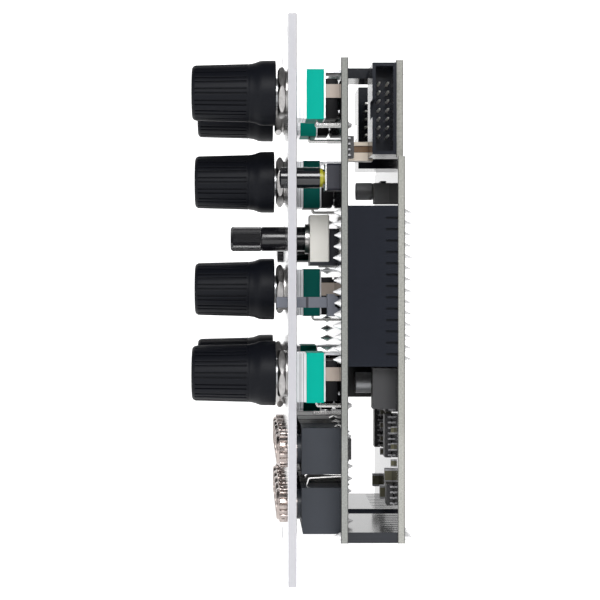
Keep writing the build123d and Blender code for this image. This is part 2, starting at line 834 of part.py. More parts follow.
# Ground legs: a short strip that slants from each housing's outer end to the board
leg_front = control_front - 2 * ground_leg_rise
with BuildPart() as jack_ground_legs:
    for edge, outward in ((upper_top, 1), (lower_bottom, -1)):
        with BuildSketch(side_plane(jack_xs[0] - ground_leg_width / 2)):
            with BuildLine():
                Polyline(
                    (leg_front, edge),
                    (control_front, edge + outward * ground_leg_rise),
                    (control_front, edge + outward * (ground_leg_rise - ground_leg_thickness)),
                    (leg_front + ground_leg_thickness, edge),
                    close=True,
                )
            make_face()
        extrude(amount=ground_leg_width)
    first_legs = jack_ground_legs.part
    for x in jack_xs[1:]:
        add(first_legs.moved(Location((x - jack_xs[0], 0, 0))))
write(jack_ground_legs, "jack_ground_legs")


# Board connectors: a socket strip on the control board, a pin strip on the main board and the pins
def row(centre, count, along_x):
    """The positions of a strip's pins about its centre."""
    offsets = [(index - (count - 1) / 2) * pin_pitch for index in range(count)]
    if along_x:
        return [(centre[0] + offset, centre[1]) for offset in offsets]
    return [(centre[0], centre[1] + offset) for offset in offsets]


socket_rear = control_rear + socket_height
pin_front = socket_rear - pin_reach
side_strip_x = half_width - strip_width / 2
bottom_strip_z = -half_height + strip_width / 2
top_strip_z = half_height - strip_width / 2
bottom_positions = int((half_width - bottom_strip_end_gap - bottom_strip_middle_gap) // pin_pitch)
bottom_strip_x = half_width - bottom_strip_end_gap - bottom_positions * pin_pitch / 2
top_strip_x = shroud_back_x - top_strip_gap - strip_end_margin - top_positions * pin_pitch / 2
side_strips = [
    ((side_strip_x, side_connector_height), side_positions, False),
    ((-side_strip_x, side_connector_height), side_positions, False),
]
edge_strips = [
    ((bottom_strip_x, bottom_strip_z), bottom_positions, True),
    ((-bottom_strip_x, bottom_strip_z), bottom_positions, True),
    ((top_strip_x, top_strip_z), top_positions, True),
]
strip_pins = [place for strip in side_strips + edge_strips for place in row(*strip)]
pin_hole = pin_size + 2 * pin_board_clearance
notch_shift = (strip_width - insulator_notch_depth) / 2

for name, strips in (("side", side_strips), ("edge", edge_strips)):
    with BuildPart() as sockets:
        for centre, count, along_x in strips:
            length = count * pin_pitch + 2 * strip_end_margin
            width, height = (length, strip_width) if along_x else (strip_width, length)
            places = row(centre, count, along_x)
            blocks([centre], width, height, control_rear, socket_rear)
            blocks(places, socket_hole, socket_hole, pin_front - socket_hole_margin,
                   socket_rear + cut_overrun, Mode.SUBTRACT)
    write(sockets, f"{name}_socket_strips")

    with BuildPart() as insulators:
        for centre, count, along_x in strips:
            length = count * pin_pitch + 2 * strip_end_margin
            width, height = (length, strip_width) if along_x else (strip_width, length)
            blocks([centre], width, height, socket_rear, main_front)
            between = row(centre, count - 1, along_x)
            for edge in (notch_shift, -notch_shift):
                dx, dz = (0, edge) if along_x else (edge, 0)
                cut = (insulator_notch_width, insulator_notch_depth)
                across, up = cut if along_x else cut[::-1]
                blocks(shifted(between, dx, dz), across, up, socket_rear - cut_overrun,
                       main_front + cut_overrun, Mode.SUBTRACT)
            blocks(row(centre, count, along_x), pin_hole, pin_hole, socket_rear - cut_overrun,
                   main_front + cut_overrun, Mode.SUBTRACT)
    write(insulators, f"{name}_pin_strips")

with BuildPart() as connector_pins:
    blocks(strip_pins, pin_size, pin_size, pin_front, main_front)
write(connector_pins, "connector_pins")

# Side-facing shrouded headers: an open box of pins at each side of the main board
shroud_front = main_front - shroud_thickness
shroud_middle_y = main_front - shroud_thickness / 2
cavity_thickness = shroud_thickness - 2 * shroud_wall
cavity_height = shroud_height - 2 * shroud_wall
fine_span = (fine_rows - 1) * fine_pitch
fine_heights = [shroud_centre_height - fine_span / 2 + fine_pitch * index for index in range(fine_rows)]
fine_depths = [shroud_middle_y - fine_pitch / 2, shroud_middle_y + fine_pitch / 2]
fine_hole = fine_pin_size + 2 * pin_board_clearance

with BuildPart() as side_header_shrouds:
    with BuildSketch(side_plane(shroud_back_x)):
        with Locations((shroud_middle_y, shroud_centre_height)):
            Rectangle(shroud_thickness, shroud_height)
    extrude(amount=shroud_depth)
    with BuildSketch(side_plane(mouth_x)):
        with Locations((shroud_middle_y, shroud_centre_height)):
            Rectangle(cavity_thickness, cavity_height)
    extrude(amount=-shroud_cavity_depth, mode=Mode.SUBTRACT)
    with BuildSketch(side_plane(mouth_x)):
        with Locations((shroud_front, shroud_centre_height)):
            Rectangle(2 * shroud_wall, key_width)
    extrude(amount=-shroud_cavity_depth, mode=Mode.SUBTRACT)
    with BuildSketch(side_plane(shroud_floor_x)):
        with Locations((shroud_middle_y, shroud_centre_height)):
            with GridLocations(fine_pitch, fine_pitch, 2, fine_rows):
                Rectangle(fine_hole, fine_hole)
    extrude(amount=shroud_back_x - shroud_floor_x, mode=Mode.SUBTRACT)
    mirror(about=Plane.YZ)
write(side_header_shrouds, "side_header_shrouds")

fine_tip_x = mouth_x - fine_pin_recess
with BuildPart() as side_header_pins:
    for step, depth in enumerate(reversed(fine_depths), start=1):
        tail_x = shroud_back_x - fine_tail_step * step
        path = [(fine_tip_x, depth), (tail_x, depth), (tail_x, main_front)]
        for height in fine_heights:
            plane = Plane.XY.offset(height - fine_pin_size / 2)
            bent_strip(plane, fine_pin_size, path, fine_pin_size, fine_tail_bend)
    mirror(about=Plane.YZ)
write(side_header_pins, "side_header_pins")

# Aluminium capacitors: a can with a waist groove on a square base
with BuildPart() as capacitor_bases:
    for shares, diameter in zip(can_shares, can_diameters):
        size = diameter + 2 * can_base_margin
        blocks([board_place(*shares)], size, size, main_front - can_base_thickness, main_front)
write(capacitor_bases, "capacitor_bases")

with BuildPart() as capacitor_cans:
    for shares, diameter, height in zip(can_shares, can_diameters, can_heights):
        can_rear = main_front - can_base_thickness
        can_front = can_rear - height
        radius = diameter / 2
        groove_edge = can_rear - can_groove_height
        outline = [
            (0, can_front),
            (radius - can_groove_depth, can_front),
            (radius, can_front + can_groove_depth),
            (radius, groove_edge - can_groove_width),
            (radius - can_groove_depth, groove_edge - can_groove_width / 2),
            (radius, groove_edge),
            (radius, can_rear),
            (0, can_rear),
        ]
        turned(board_place(*shares), outline)
write(capacitor_cans, "capacitor_cans")


# Chips with gull-wing leads on either side, a screened inductor, a power choke and a tall converter module
def chip_set(shares, face, outward):
    """Every chip of a board as (place, lead count, body length, board face, way out from the board)."""
    return [
        (board_place(x, z), leads, leads / 2 * soic_pitch - 2 * soic_end_margin, face, outward)
        for x, z, leads in shares
    ]


chips = chip_set(main_chip_shares, main_front, -1) + chip_set(control_chip_shares, control_rear, 1)
with BuildPart() as chip_bodies:
    for place, leads, length, face, outward in chips:
        near = face + outward * soic_stand_off
        far = near + outward * soic_body_thickness
        blocks([place], soic_body_width, length, min(near, far), max(near, far))
    inductor_front = main_front - inductor_height
    converter_front = main_front - converter_height
    choke_front = main_front - choke_height
    blocks([board_place(*inductor_share)], inductor_size, inductor_size, inductor_front, main_front)
    blocks([board_place(*converter_share)], converter_width, converter_length, converter_front, main_front)
    blocks([board_place(*choke_share)], choke_width, choke_length, choke_front, main_front)
write(chip_bodies, "chip_bodies")

lead_out = soic_lead_span / 2
lead_in = soic_body_width / 2
lead_knee = lead_out - soic_foot_length
lead_gap = soic_pitch - soic_lead_width
gap_width = soic_lead_span + 2 * cut_overrun
with BuildPart() as chip_leads:
    for (x, z), leads, length, face, outward in chips:
        foot = face + outward * soic_lead_thickness / 2
        shoulder = face + outward * (soic_stand_off + soic_body_thickness / 2)
        row_length = (leads / 2 - 1) * soic_pitch + soic_lead_width
        for side in (1, -1):
            path = [
                (x + side * lead_in, shoulder),
                (x + side * lead_knee, shoulder),
                (x + side * lead_knee, foot),
                (x + side * lead_out, foot),
            ]
            start = Plane.XY.offset(z - row_length / 2)
            bent_strip(start, row_length, path, soic_lead_thickness, soic_lead_thickness)
    for face, outward in ((main_front, -1), (control_rear, 1)):
        gaps = [
            (x, z + (index - (leads / 2 - 2) / 2) * soic_pitch)
            for (x, z), leads, length, chip_face, side in chips if chip_face == face
            for index in range(leads // 2 - 1)
        ]
        top = face + outward * (soic_stand_off + soic_body_thickness)
        blocks(gaps, gap_width, lead_gap, min(face, top), max(face, top), Mode.SUBTRACT)
write(chip_leads, "chip_leads")

# Small transformer: a winding between a thick and a thin plate, edge on to the control board
coil_x = shroud_back_x - coil_header_gap - coil_width / 2
coil_z = shroud_centre_height - coil_drop
coil_rear = control_rear + coil_depth
coil_height = coil_base_height + coil_winding_height + coil_top_height
coil_base_z = coil_z + (coil_base_height - coil_height) / 2
coil_top_z = coil_z + (coil_height - coil_top_height) / 2
winding_z = coil_base_z + (coil_base_height + coil_winding_height) / 2
core_width = coil_width - 2 * coil_core_inset
core_front = control_rear + coil_core_inset
core_rear = coil_rear - coil_core_inset
with BuildPart() as coil_bobbin:
    blocks([(coil_x, coil_base_z)], coil_width, coil_base_height, control_rear, coil_rear)
    blocks([(coil_x, coil_top_z)], coil_width, coil_top_height, control_rear, coil_rear)
    blocks([(coil_x, winding_z)], core_width, coil_winding_height, core_front, core_rear)
write(coil_bobbin, "coil_bobbin")

with BuildPart() as coil_winding:
    winding_front = control_rear + coil_winding_inset
    winding_rear = coil_rear - coil_winding_inset
    winding_width = coil_width - 2 * coil_winding_inset
    blocks([(coil_x, winding_z)], winding_width, coil_winding_height, winding_front, winding_rear)
    blocks([(coil_x, winding_z)], core_width, coil_winding_height, core_front, core_rear, Mode.SUBTRACT)
write(coil_winding, "coil_winding")

# Chip capacitors and resistors: a ceramic middle between two metal ends
with BuildPart() as passive_bodies:
    large_places = [board_place(*shares) for shares in large_chip_shares]
    small_places = [board_place(*shares) for shares in small_chip_shares]
    blocks(large_places, chip_width, chip_length - 2 * chip_end_length, main_front - chip_height, main_front)
    small_body_length = small_chip_length - 2 * chip_end_length * small_chip_length / chip_length
    blocks(small_places, small_chip_width, small_body_length, main_front - small_chip_height, main_front)
write(passive_bodies, "passive_bodies")

small_end_length = (small_chip_length - small_body_length) / 2
with BuildPart() as passive_ends:
    for side in (1, -1):
        large_ends = shifted(large_places, 0, side * (chip_length - chip_end_length) / 2)
        blocks(large_ends, chip_width, chip_end_length, main_front - chip_height, main_front)
        small_ends = shifted(small_places, 0, side * (small_chip_length - small_end_length) / 2)
        blocks(small_ends, small_chip_width, small_end_length, main_front - small_chip_height, main_front)
write(passive_ends, "passive_ends")


# Solder joints: a small cone over each pin, on the far side of the board that the pin goes through
def cones(places, face, outward):
    """One solder cone at each place, standing on a board's face."""
    plane = Plane(origin=(0, face, 0), x_dir=(-outward, 0, 0), z_dir=(0, outward, 0))
    on_face = (Align.CENTER, Align.CENTER, Align.MIN)
    with Locations(plane):
        with Locations(*[(-outward * x, z) for x, z in places]):
            Cone(solder_diameter / 2, solder_tip_diameter / 2, solder_height, align=on_face)


terminal_solder = []
for index in range(terminal_count):
    offset = (index - (terminal_count - 1) / 2) * terminal_pitch
    terminal_solder += shifted(pot_places, offset, -terminal_foot)
jack_solder = shifted(upper_centres, 0, outer_pin_offset) + shifted(upper_centres, 0, -inner_pin_offset)
jack_solder += shifted(lower_centres, 0, inner_pin_offset) + shifted(lower_centres, 0, -outer_pin_offset)
jack_solder += [(x, (upper_bottom + lower_top) / 2) for x in jack_xs]
jack_edge = jack_xs[-1] + jack_width / 2 + solder_diameter / 2
clear_pins = [(x, z) for x, z in strip_pins if z > upper_top or abs(x) > jack_edge]
with BuildPart() as control_board_solder:
    cones(clear_pins, control_front, -1)
    cones(terminal_solder + jack_solder, control_rear, 1)
write(control_board_solder, "control_board_solder")

with BuildPart() as main_rear_solder:
    cones(strip_pins, main_rear, 1)
write(main_rear_solder, "main_rear_solder")
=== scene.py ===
# %% [markdown]
# # A synthesizer rack module
# The module stands on the lower edge of its panel, and the camera looks at its right-hand side.
# Knobs stand in front of the panel, and two circuit boards with their connectors stand behind it.
# The imported CAD model is loaded first. Its nodes keep their places, and nearly everything below
# gives a node its material or builds a finer piece in the place of one. Only the rear covers of
# the pots are added, because the CAD model doesn't have them, and they also darken the space behind
# the pots as painted shade.

# %% Load the model
import math

import bmesh
import bpy
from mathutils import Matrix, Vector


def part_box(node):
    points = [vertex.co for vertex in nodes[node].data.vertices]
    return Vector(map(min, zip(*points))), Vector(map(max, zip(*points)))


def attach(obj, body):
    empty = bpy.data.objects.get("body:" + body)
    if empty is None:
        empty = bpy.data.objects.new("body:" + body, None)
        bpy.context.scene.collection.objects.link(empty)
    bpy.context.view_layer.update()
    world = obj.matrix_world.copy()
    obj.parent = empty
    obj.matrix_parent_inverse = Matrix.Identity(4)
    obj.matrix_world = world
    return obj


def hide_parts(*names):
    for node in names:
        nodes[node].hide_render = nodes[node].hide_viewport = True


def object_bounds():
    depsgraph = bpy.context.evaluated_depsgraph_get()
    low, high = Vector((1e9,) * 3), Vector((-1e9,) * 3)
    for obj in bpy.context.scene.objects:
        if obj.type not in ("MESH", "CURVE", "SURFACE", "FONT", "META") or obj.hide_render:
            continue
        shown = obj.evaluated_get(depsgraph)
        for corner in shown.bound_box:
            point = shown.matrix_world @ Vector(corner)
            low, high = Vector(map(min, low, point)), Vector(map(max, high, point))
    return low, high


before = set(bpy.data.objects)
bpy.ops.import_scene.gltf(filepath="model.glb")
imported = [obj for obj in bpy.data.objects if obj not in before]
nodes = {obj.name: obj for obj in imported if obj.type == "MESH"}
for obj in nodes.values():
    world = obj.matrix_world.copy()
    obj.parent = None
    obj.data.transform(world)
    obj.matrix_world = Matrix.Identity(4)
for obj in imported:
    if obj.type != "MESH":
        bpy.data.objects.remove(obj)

cad_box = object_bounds()
scene = bpy.context.scene
millimetre = 0.001
print("nodes:", len(nodes))

# %% [markdown]
# ## The view
# The photograph was taken level with the middle of the module, from about a third of a metre away.
# The module sits left of the picture's centre line, so the lens is shifted instead of turned,
# because a turned camera would make the panel's edge lean.

# %% Camera
picture_width = 600
focal_pixels = 1432
axis_pixels = (249, 280)
eye_distance = 350.3
eye_y, eye_z = -10.7, 4.56
sensor_width = 36
nearest_shown = 0.01

camera_data = bpy.data.cameras.new("camera")
camera_data.sensor_width = sensor_width
camera_data.lens = sensor_width * focal_pixels / picture_width
camera_data.shift_x = (picture_width / 2 - axis_pixels[0]) / picture_width
camera_data.shift_y = (axis_pixels[1] - picture_width / 2) / picture_width
camera_data.clip_start = nearest_shown
camera = bpy.data.objects.new("camera", camera_data)
camera.location = [v * millimetre for v in (eye_distance, eye_y, eye_z)]
camera.rotation_euler = (math.radians(90), 0, math.radians(90))
scene.collection.objects.link(camera)
scene.camera = camera
print("lens", round(camera_data.lens, 1), "mm")

# %% [markdown]
# ## Light
# Black plastic on white paper is hard to light. A white surround would lift the black to grey, and
# a dark one would lose its edges. A studio puts the object on a light table with a glowing sheet
# behind it and keeps the room on the camera's side dim. Two soft boxes stand to the camera's left
# and right, and one above it reaches in between the panel and the boards, where the other two
# can't. A large one far to the left lights the front of the panel. Faces that the camera sees at a
# glancing angle mirror the white sheet, as in the photograph.

# %% Room and soft boxes
scene.view_settings.view_transform = "Standard"
scene.view_settings.look = "None"

room = bpy.data.worlds.new("room")
scene.world = room
room.use_nodes = True
backdrop_strength = 1.05
room_strength = 0.16
room_nodes, room_links = room.node_tree.nodes, room.node_tree.links
background = room_nodes["Background"]
background.inputs["Color"].default_value = (1, 1, 1, 1)
path = room_nodes.new("ShaderNodeLightPath")
strength = room_nodes.new("ShaderNodeMapRange")
strength.inputs["To Min"].default_value = room_strength
strength.inputs["To Max"].default_value = backdrop_strength
room_links.new(path.outputs["Is Camera Ray"], strength.inputs["Value"])
room_links.new(strength.outputs["Result"], background.inputs["Strength"])


def soft_box(name, place, size, power):
    """A square lamp that faces the middle of the module, with its place and size in metres."""
    data = bpy.data.lights.new(name, "AREA")
    data.size = size
    data.energy = power
    lamp = bpy.data.objects.new(name, data)
    lamp.location = place
    aim = -lamp.location
    lamp.rotation_euler = aim.to_track_quat("-Z", "Y").to_euler()
    scene.collection.objects.link(lamp)


for side, y in (("left", -0.36), ("right", 0.36)):
    soft_box(f"box_{side}", (0.72, y, 0.14), size=0.35, power=1.8)
soft_box("box_above", (0.70, 0.00, 0.38), size=0.30, power=4.2)
soft_box("box_far", (0.20, -0.85, 0.20), size=0.50, power=1.2)
print("lamps:", len(bpy.data.lights))

# %% [markdown]
# ## Floor
# The light table is one pale sheet that curves up behind the module, as a paper roll does, so that
# no line shows where the floor ends. It glows by itself, which lightens the shadow without a lamp
# for it. The sheet starts as a flat plane, and its rear edge is then extruded along the curve.

# %% Floor and backdrop
panel_foot = cad_box[0][2]
sheet_front = 0.35
sheet_half = 1.1
sheet_back = -0.9
sheet_curve = 0.3
sheet_rise = 1.0
curve_steps = 12


def extrude_by(x, y, z):
    """Extrude what is selected, and move it by metres along each axis."""
    bpy.ops.mesh.extrude_region_move(TRANSFORM_OT_translate={"value": (x, y, z)})


bpy.ops.object.select_all(action="DESELECT")
bpy.ops.mesh.primitive_plane_add(size=2, location=(0, 0, panel_foot))
floor = bpy.context.object
floor.name = "floor"
for vertex in floor.data.vertices:
    vertex.co.x = sheet_back if vertex.co.x < 0 else sheet_front
    vertex.co.y *= sheet_half
bpy.ops.object.mode_set(mode="EDIT")
bpy.ops.mesh.select_mode(type="EDGE")
bpy.ops.mesh.select_all(action="DESELECT")
sheet = bmesh.from_edit_mesh(floor.data)
for edge in sheet.edges:
    edge.select_set(max(vertex.co.x for vertex in edge.verts) < 0)
bmesh.update_edit_mesh(floor.data)
for step in range(1, curve_steps + 1):
    before, after = [math.radians(90) * s / curve_steps for s in (step - 1, step)]
    extrude_by(sheet_curve * (math.sin(before) - math.sin(after)), 0,
               sheet_curve * (math.cos(before) - math.cos(after)))
extrude_by(0, 0, sheet_rise)
bpy.ops.object.mode_set(mode="OBJECT")
bpy.ops.object.transform_apply(location=True, rotation=True, scale=True)
bpy.ops.object.shade_smooth()
print("floor faces:", len(floor.data.polygons))

# %% [markdown]
# ## Shared effects
# Every finish is made of the same few effects: a fine grain that breaks up the gloss, a slow drift
# of colour, and fine lines where metal was drawn or rolled. Each one is a node group, so that every
# material can set its own scale and amount.


# %% Helpers for node groups
def new_group(name, inputs, outputs):
    """An empty shader group with number or colour sockets."""
    tree = bpy.data.node_groups.new(name, "ShaderNodeTree")
    for label, kind, value in inputs:
        socket = tree.interface.new_socket(label, in_out="INPUT", socket_type=kind)
        socket.default_value = value
    for label, kind in outputs:
        tree.interface.new_socket(label, in_out="OUTPUT", socket_type=kind)
    return tree, tree.nodes.new("NodeGroupInput"), tree.nodes.new("NodeGroupOutput")


def object_noise(tree, scale, detail, stretch=(1, 1, 1)):
    """A noise texture on Object coordinates, whose scale comes from a socket."""
    coordinates = tree.nodes.new("ShaderNodeTexCoord")
    mapping = tree.nodes.new("ShaderNodeMapping")
    mapping.inputs["Scale"].default_value = stretch
    noise = tree.nodes.new("ShaderNodeTexNoise")
    noise.inputs["Detail"].default_value = detail
    tree.links.new(coordinates.outputs["Object"], mapping.inputs["Vector"])
    tree.links.new(mapping.outputs["Vector"], noise.inputs["Vector"])
    tree.links.new(scale, noise.inputs["Scale"])
    return noise.outputs["Fac"]


def mix_math(tree, operation, first, second):
    """One math node between two sockets or numbers."""
    node = tree.nodes.new("ShaderNodeMath")
    node.operation = operation
    for value, socket in zip((first, second), node.inputs):
        if isinstance(value, (int, float)):
            socket.default_value = value
        else:
            tree.links.new(value, socket)
    return node.outputs["Value"]


# %% [markdown]
# Grain and rolled lines differ only in how the noise is stretched. The noise varies the roughness
# about its set value, and also serves as the height for a Bump node.

# %% Grain and lines
number, colour = "NodeSocketFloat", "NodeSocketColor"


def uneven_gloss(name, scale, roughness, detail, stretch):
    """A group whose roughness and height vary with one noise."""
    tree, start, end = new_group(
        name,
        [("Scale", number, scale), ("Roughness", number, roughness), ("Spread", number, 0.2)],
        [("Roughness", number), ("Height", number)],
    )
    noise = object_noise(tree, start.outputs["Scale"], detail, stretch)
    centred = mix_math(tree, "SUBTRACT", noise, 0.5)
    spread = mix_math(tree, "MULTIPLY", centred, start.outputs["Spread"])
    varied = mix_math(tree, "ADD", spread, start.outputs["Roughness"])
    tree.links.new(varied, end.inputs["Roughness"])
    tree.links.new(noise, end.inputs["Height"])
    return tree


grain = uneven_gloss("moulded_grain", 3000.0, 0.5, detail=3.0, stretch=(1, 1, 1))
streaks = uneven_gloss("rolled_lines", 900.0, 0.3, detail=4.0, stretch=(0.15, 6, 1))
print("groups:", grain.name, streaks.name)

# %% [markdown]
# The drift makes a colour wander slowly between a darker and a lighter shade.

# %% Drift of colour
drift, start, end = new_group(
    "colour_drift",
    [("Color", colour, (0.5, 0.5, 0.5, 1)), ("Scale", number, 120.0), ("Amount", number, 0.2)],
    [("Color", colour)],
)
noise = object_noise(drift, start.outputs["Scale"], detail=5.0)
centred = mix_math(drift, "SUBTRACT", noise, 0.5)
doubled = mix_math(drift, "MULTIPLY", centred, 2.0)
lift = mix_math(drift, "MULTIPLY", doubled, start.outputs["Amount"])
factor = mix_math(drift, "ADD", lift, 1.0)
scaled = drift.nodes.new("ShaderNodeVectorMath")
scaled.operation = "SCALE"
drift.links.new(start.outputs["Color"], scaled.inputs["Vector"])
drift.links.new(factor, scaled.inputs["Scale"])
drift.links.new(scaled.outputs["Vector"], end.inputs["Color"])
print("group:", drift.name)

# %% [markdown]
# ## One finish
# A material here is a Principled shader fed by those groups. One function wires them up, and each
# finish then only says what is different about it: its colour, its gloss and how coarse its grain
# is. A second function paints another shade over a finish wherever a mask says so.


# %% Helpers for finishes
def finish(name, base, roughness, metallic=0.0, effect=grain, scale=3000.0, spread=0.15,
           depth=0.02, drift_amount=0.12, drift_scale=150.0, specular=0.5, coat=0.0):
    """A procedural material: drifting colour, uneven gloss and a relief with its depth in millimetres."""
    material = bpy.data.materials.new(name)
    material.use_nodes = True
    tree = material.node_tree
    shader = tree.nodes["Principled BSDF"]
    shader.inputs["Metallic"].default_value = metallic
    shader.inputs["Specular IOR Level"].default_value = specular
    shader.inputs["Coat Weight"].default_value = coat
    tone = tree.nodes.new("ShaderNodeGroup")
    tone.node_tree = drift
    tone.inputs["Color"].default_value = (*base, 1)
    tone.inputs["Scale"].default_value = drift_scale
    tone.inputs["Amount"].default_value = drift_amount
    relief = tree.nodes.new("ShaderNodeGroup")
    relief.node_tree = effect
    relief.inputs["Scale"].default_value = scale
    relief.inputs["Roughness"].default_value = roughness
    relief.inputs["Spread"].default_value = spread
    bump = tree.nodes.new("ShaderNodeBump")
    bump.inputs["Strength"].default_value = 1.0
    bump.inputs["Distance"].default_value = depth * millimetre
    tree.links.new(tone.outputs["Color"], shader.inputs["Base Color"])
    tree.links.new(relief.outputs["Roughness"], shader.inputs["Roughness"])
    tree.links.new(relief.outputs["Height"], bump.inputs["Height"])
    tree.links.new(bump.outputs["Normal"], shader.inputs["Normal"])
    return material


def paint_over(material, mask, shade):
    """Show a shade, which is a colour or a socket, over a finish wherever the mask is one."""
    tree = material.node_tree
    base = tree.nodes["Principled BSDF"].inputs["Base Color"]
    paint = tree.nodes.new("ShaderNodeMix")
    paint.data_type = "RGBA"
    tree.links.new(mask, paint.inputs["Factor"])
    tree.links.new(base.links[0].from_socket, paint.inputs["A"])
    if isinstance(shade, tuple):
        paint.inputs["B"].default_value = (*shade, 1)
    else:
        tree.links.new(shade, paint.inputs["B"])
    tree.links.new(paint.outputs["Result"], base)


def object_axes(tree, output="Object"):
    """The X, Y and Z of a point on the piece, or with Normal of the direction that it faces."""
    coordinates = tree.nodes.new("ShaderNodeTexCoord")
    axes = tree.nodes.new("ShaderNodeSeparateXYZ")
    tree.links.new(coordinates.outputs[output], axes.inputs["Vector"])
    return axes.outputs


# %% [markdown]
# ## Floor finish
# Pale acrylic over a lamp: nearly matt, with the faintest mottling, and light of its own.

# %% Light table
table_glow = 0.85
table = finish("light_table", (0.86, 0.86, 0.86), 0.9, spread=0.05, depth=0.0, drift_amount=0.01,
               drift_scale=8.0, specular=0.1)
table_shader = table.node_tree.nodes["Principled BSDF"]
table_shader.inputs["Emission Color"].default_value = (1, 1, 1, 1)
table_shader.inputs["Emission Strength"].default_value = table_glow
floor.data.materials.append(table)
print("floor finish:", table.name)

# %% [markdown]
# ## Plastics
# The photograph shows few colours: slate sockets, nearly black connectors and knobs, bright teal
# pot bodies and several kinds of bare metal. The plastics differ most in how glossy they are.

# %% Black and grey plastics
slate = finish("jack_slate", (0.020, 0.0235, 0.031), 0.42, scale=5000, spread=0.2, depth=0.008,
               specular=0.3)
connector_black = finish("connector_black", (0.008, 0.0095, 0.014), 0.17, scale=5000, spread=0.08,
                         depth=0.002, specular=0.35)
base_dark = finish("base_dark", (0.016, 0.017, 0.026), 0.45, scale=5000, depth=0.008, specular=0.35)
cap_black = finish("cap_black", (0.007, 0.007, 0.010), 0.14, spread=0.06, scale=2500, depth=0.002,
                   coat=0.2)
shaft_black = finish("shaft_black", (0.007, 0.007, 0.009), 0.2, spread=0.1, scale=2500, depth=0.003)
switch_grey = finish("switch_grey", (0.085, 0.092, 0.115), 0.45, scale=4500, depth=0.008)
chip_black = finish("chip_black", (0.010, 0.010, 0.012), 0.42, scale=7000, spread=0.25, depth=0.008)
track_black = finish("track_black", (0.006, 0.006, 0.007), 0.5, specular=0.1)
knob_plastic = finish("knob_charcoal", (0.0024, 0.0030, 0.0052), 0.48, scale=4500, spread=0.2,
                      depth=0.010, drift_amount=0.15, specular=0.12)

# %% Pale and coloured plastics
cream = finish("lug_cream", (0.33, 0.275, 0.235), 0.4, scale=2500, depth=0.01, drift_amount=0.25)
can_white = finish("can_white", (0.93, 0.91, 0.85), 0.42, scale=3000, depth=0.004, drift_amount=0.04)
yellow = finish("plunger_yellow", (0.32, 0.30, 0.01), 0.4, scale=3000, depth=0.004, drift_amount=0.06)
ceramic = finish("chip_ceramic", (0.075, 0.07, 0.035), 0.4, scale=5000, depth=0.006,
                 drift_amount=0.3, drift_scale=250)
bobbin_cream = finish("coil_cream", (0.80, 0.70, 0.58), 0.35, scale=2500, depth=0.006)
winding_brown = finish("winding_brown", (0.16, 0.085, 0.035), 0.3, scale=3500, drift_amount=0.4,
                       drift_scale=900)
print("finishes so far:", len(bpy.data.materials))

# %% [markdown]
# The pots in the middle column are painted a dark green instead of teal, as painted shade for the light
# that doesn't reach them between the panel and the boards. Both are in one node, so the shaded green is
# painted over the teal wherever the piece is near the module's middle.

# %% Teal
middle_column_half = 12
# painted shade: a darker green for the pots in the middle column, where less light reaches
shaded_green = (0.002, 0.085, 0.072)
teal = finish("pot_teal", (0.000, 0.290, 0.225), 0.5, scale=4000, depth=0.005, drift_amount=0.05,
              specular=0.04)
from_middle = mix_math(teal.node_tree, "ABSOLUTE", object_axes(teal.node_tree)["X"], 0)
in_middle = mix_math(teal.node_tree, "LESS_THAN", from_middle, middle_column_half * millimetre)
paint_over(teal, in_middle, shaded_green)
print("painted:", teal.name)

# %% [markdown]
# ## Boards and panel
# A circuit board shows two surfaces: glossy black lacquer on its faces, and bare glass fibre on its
# sawn edges, where the lacquer leaves a dark line at each side. At a glancing angle the lacquer is a
# mirror, so it looks white wherever it faces the white sheet. The panel is plain aluminium. A group
# finds the edge from the direction that the surface faces, and the lines from how far it is from the
# board's middle.

# %% Edge group
edge_tilt = 0.6
edge_lines, start, end = new_group(
    "edge_lines",
    [("Middle", number, 0.0), ("Half", number, 0.0008), ("Line", number, 0.16)],
    [("Edge", number), ("Line", number)],
)
facing = mix_math(edge_lines, "ABSOLUTE", object_axes(edge_lines, "Normal")["Y"], 0)
on_edge = mix_math(edge_lines, "LESS_THAN", facing, edge_tilt)
offset = mix_math(edge_lines, "SUBTRACT", object_axes(edge_lines)["Y"], start.outputs["Middle"])
distance = mix_math(edge_lines, "ABSOLUTE", offset, 0)
share = mix_math(edge_lines, "DIVIDE", distance, start.outputs["Half"])
limit = mix_math(edge_lines, "SUBTRACT", 1.0, start.outputs["Line"])
outside = mix_math(edge_lines, "GREATER_THAN", share, limit)
edge_lines.links.new(on_edge, end.inputs["Edge"])
edge_lines.links.new(mix_math(edge_lines, "MULTIPLY", outside, on_edge), end.inputs["Line"])
print("group:", edge_lines.name)


# %% Layered finish
def layered(name, face, edge, line, middle, half, line_share, roughness, fibre_scale,
            fibre_amount=0.45, metallic=0.0):
    """A finish with one colour on the faces, another on the edges and dark lines beside them."""
    material = finish(name, face, roughness, metallic, scale=1800, spread=0.06, depth=0.001,
                      drift_amount=0.03)
    tree = material.node_tree
    mask = tree.nodes.new("ShaderNodeGroup")
    mask.node_tree = edge_lines
    mask.inputs["Middle"].default_value = middle * millimetre
    mask.inputs["Half"].default_value = half * millimetre
    mask.inputs["Line"].default_value = line_share
    fibre = tree.nodes.new("ShaderNodeGroup")
    fibre.node_tree = drift
    fibre.inputs["Color"].default_value = (*edge, 1)
    fibre.inputs["Scale"].default_value = fibre_scale
    fibre.inputs["Amount"].default_value = fibre_amount
    paint_over(material, mask.outputs["Edge"], fibre.outputs["Color"])
    paint_over(material, mask.outputs["Line"], line)
    if metallic:
        bare = mix_math(tree, "SUBTRACT", metallic, mask.outputs["Edge"])
        tree.links.new(bare, tree.nodes["Principled BSDF"].inputs["Metallic"])
    return material


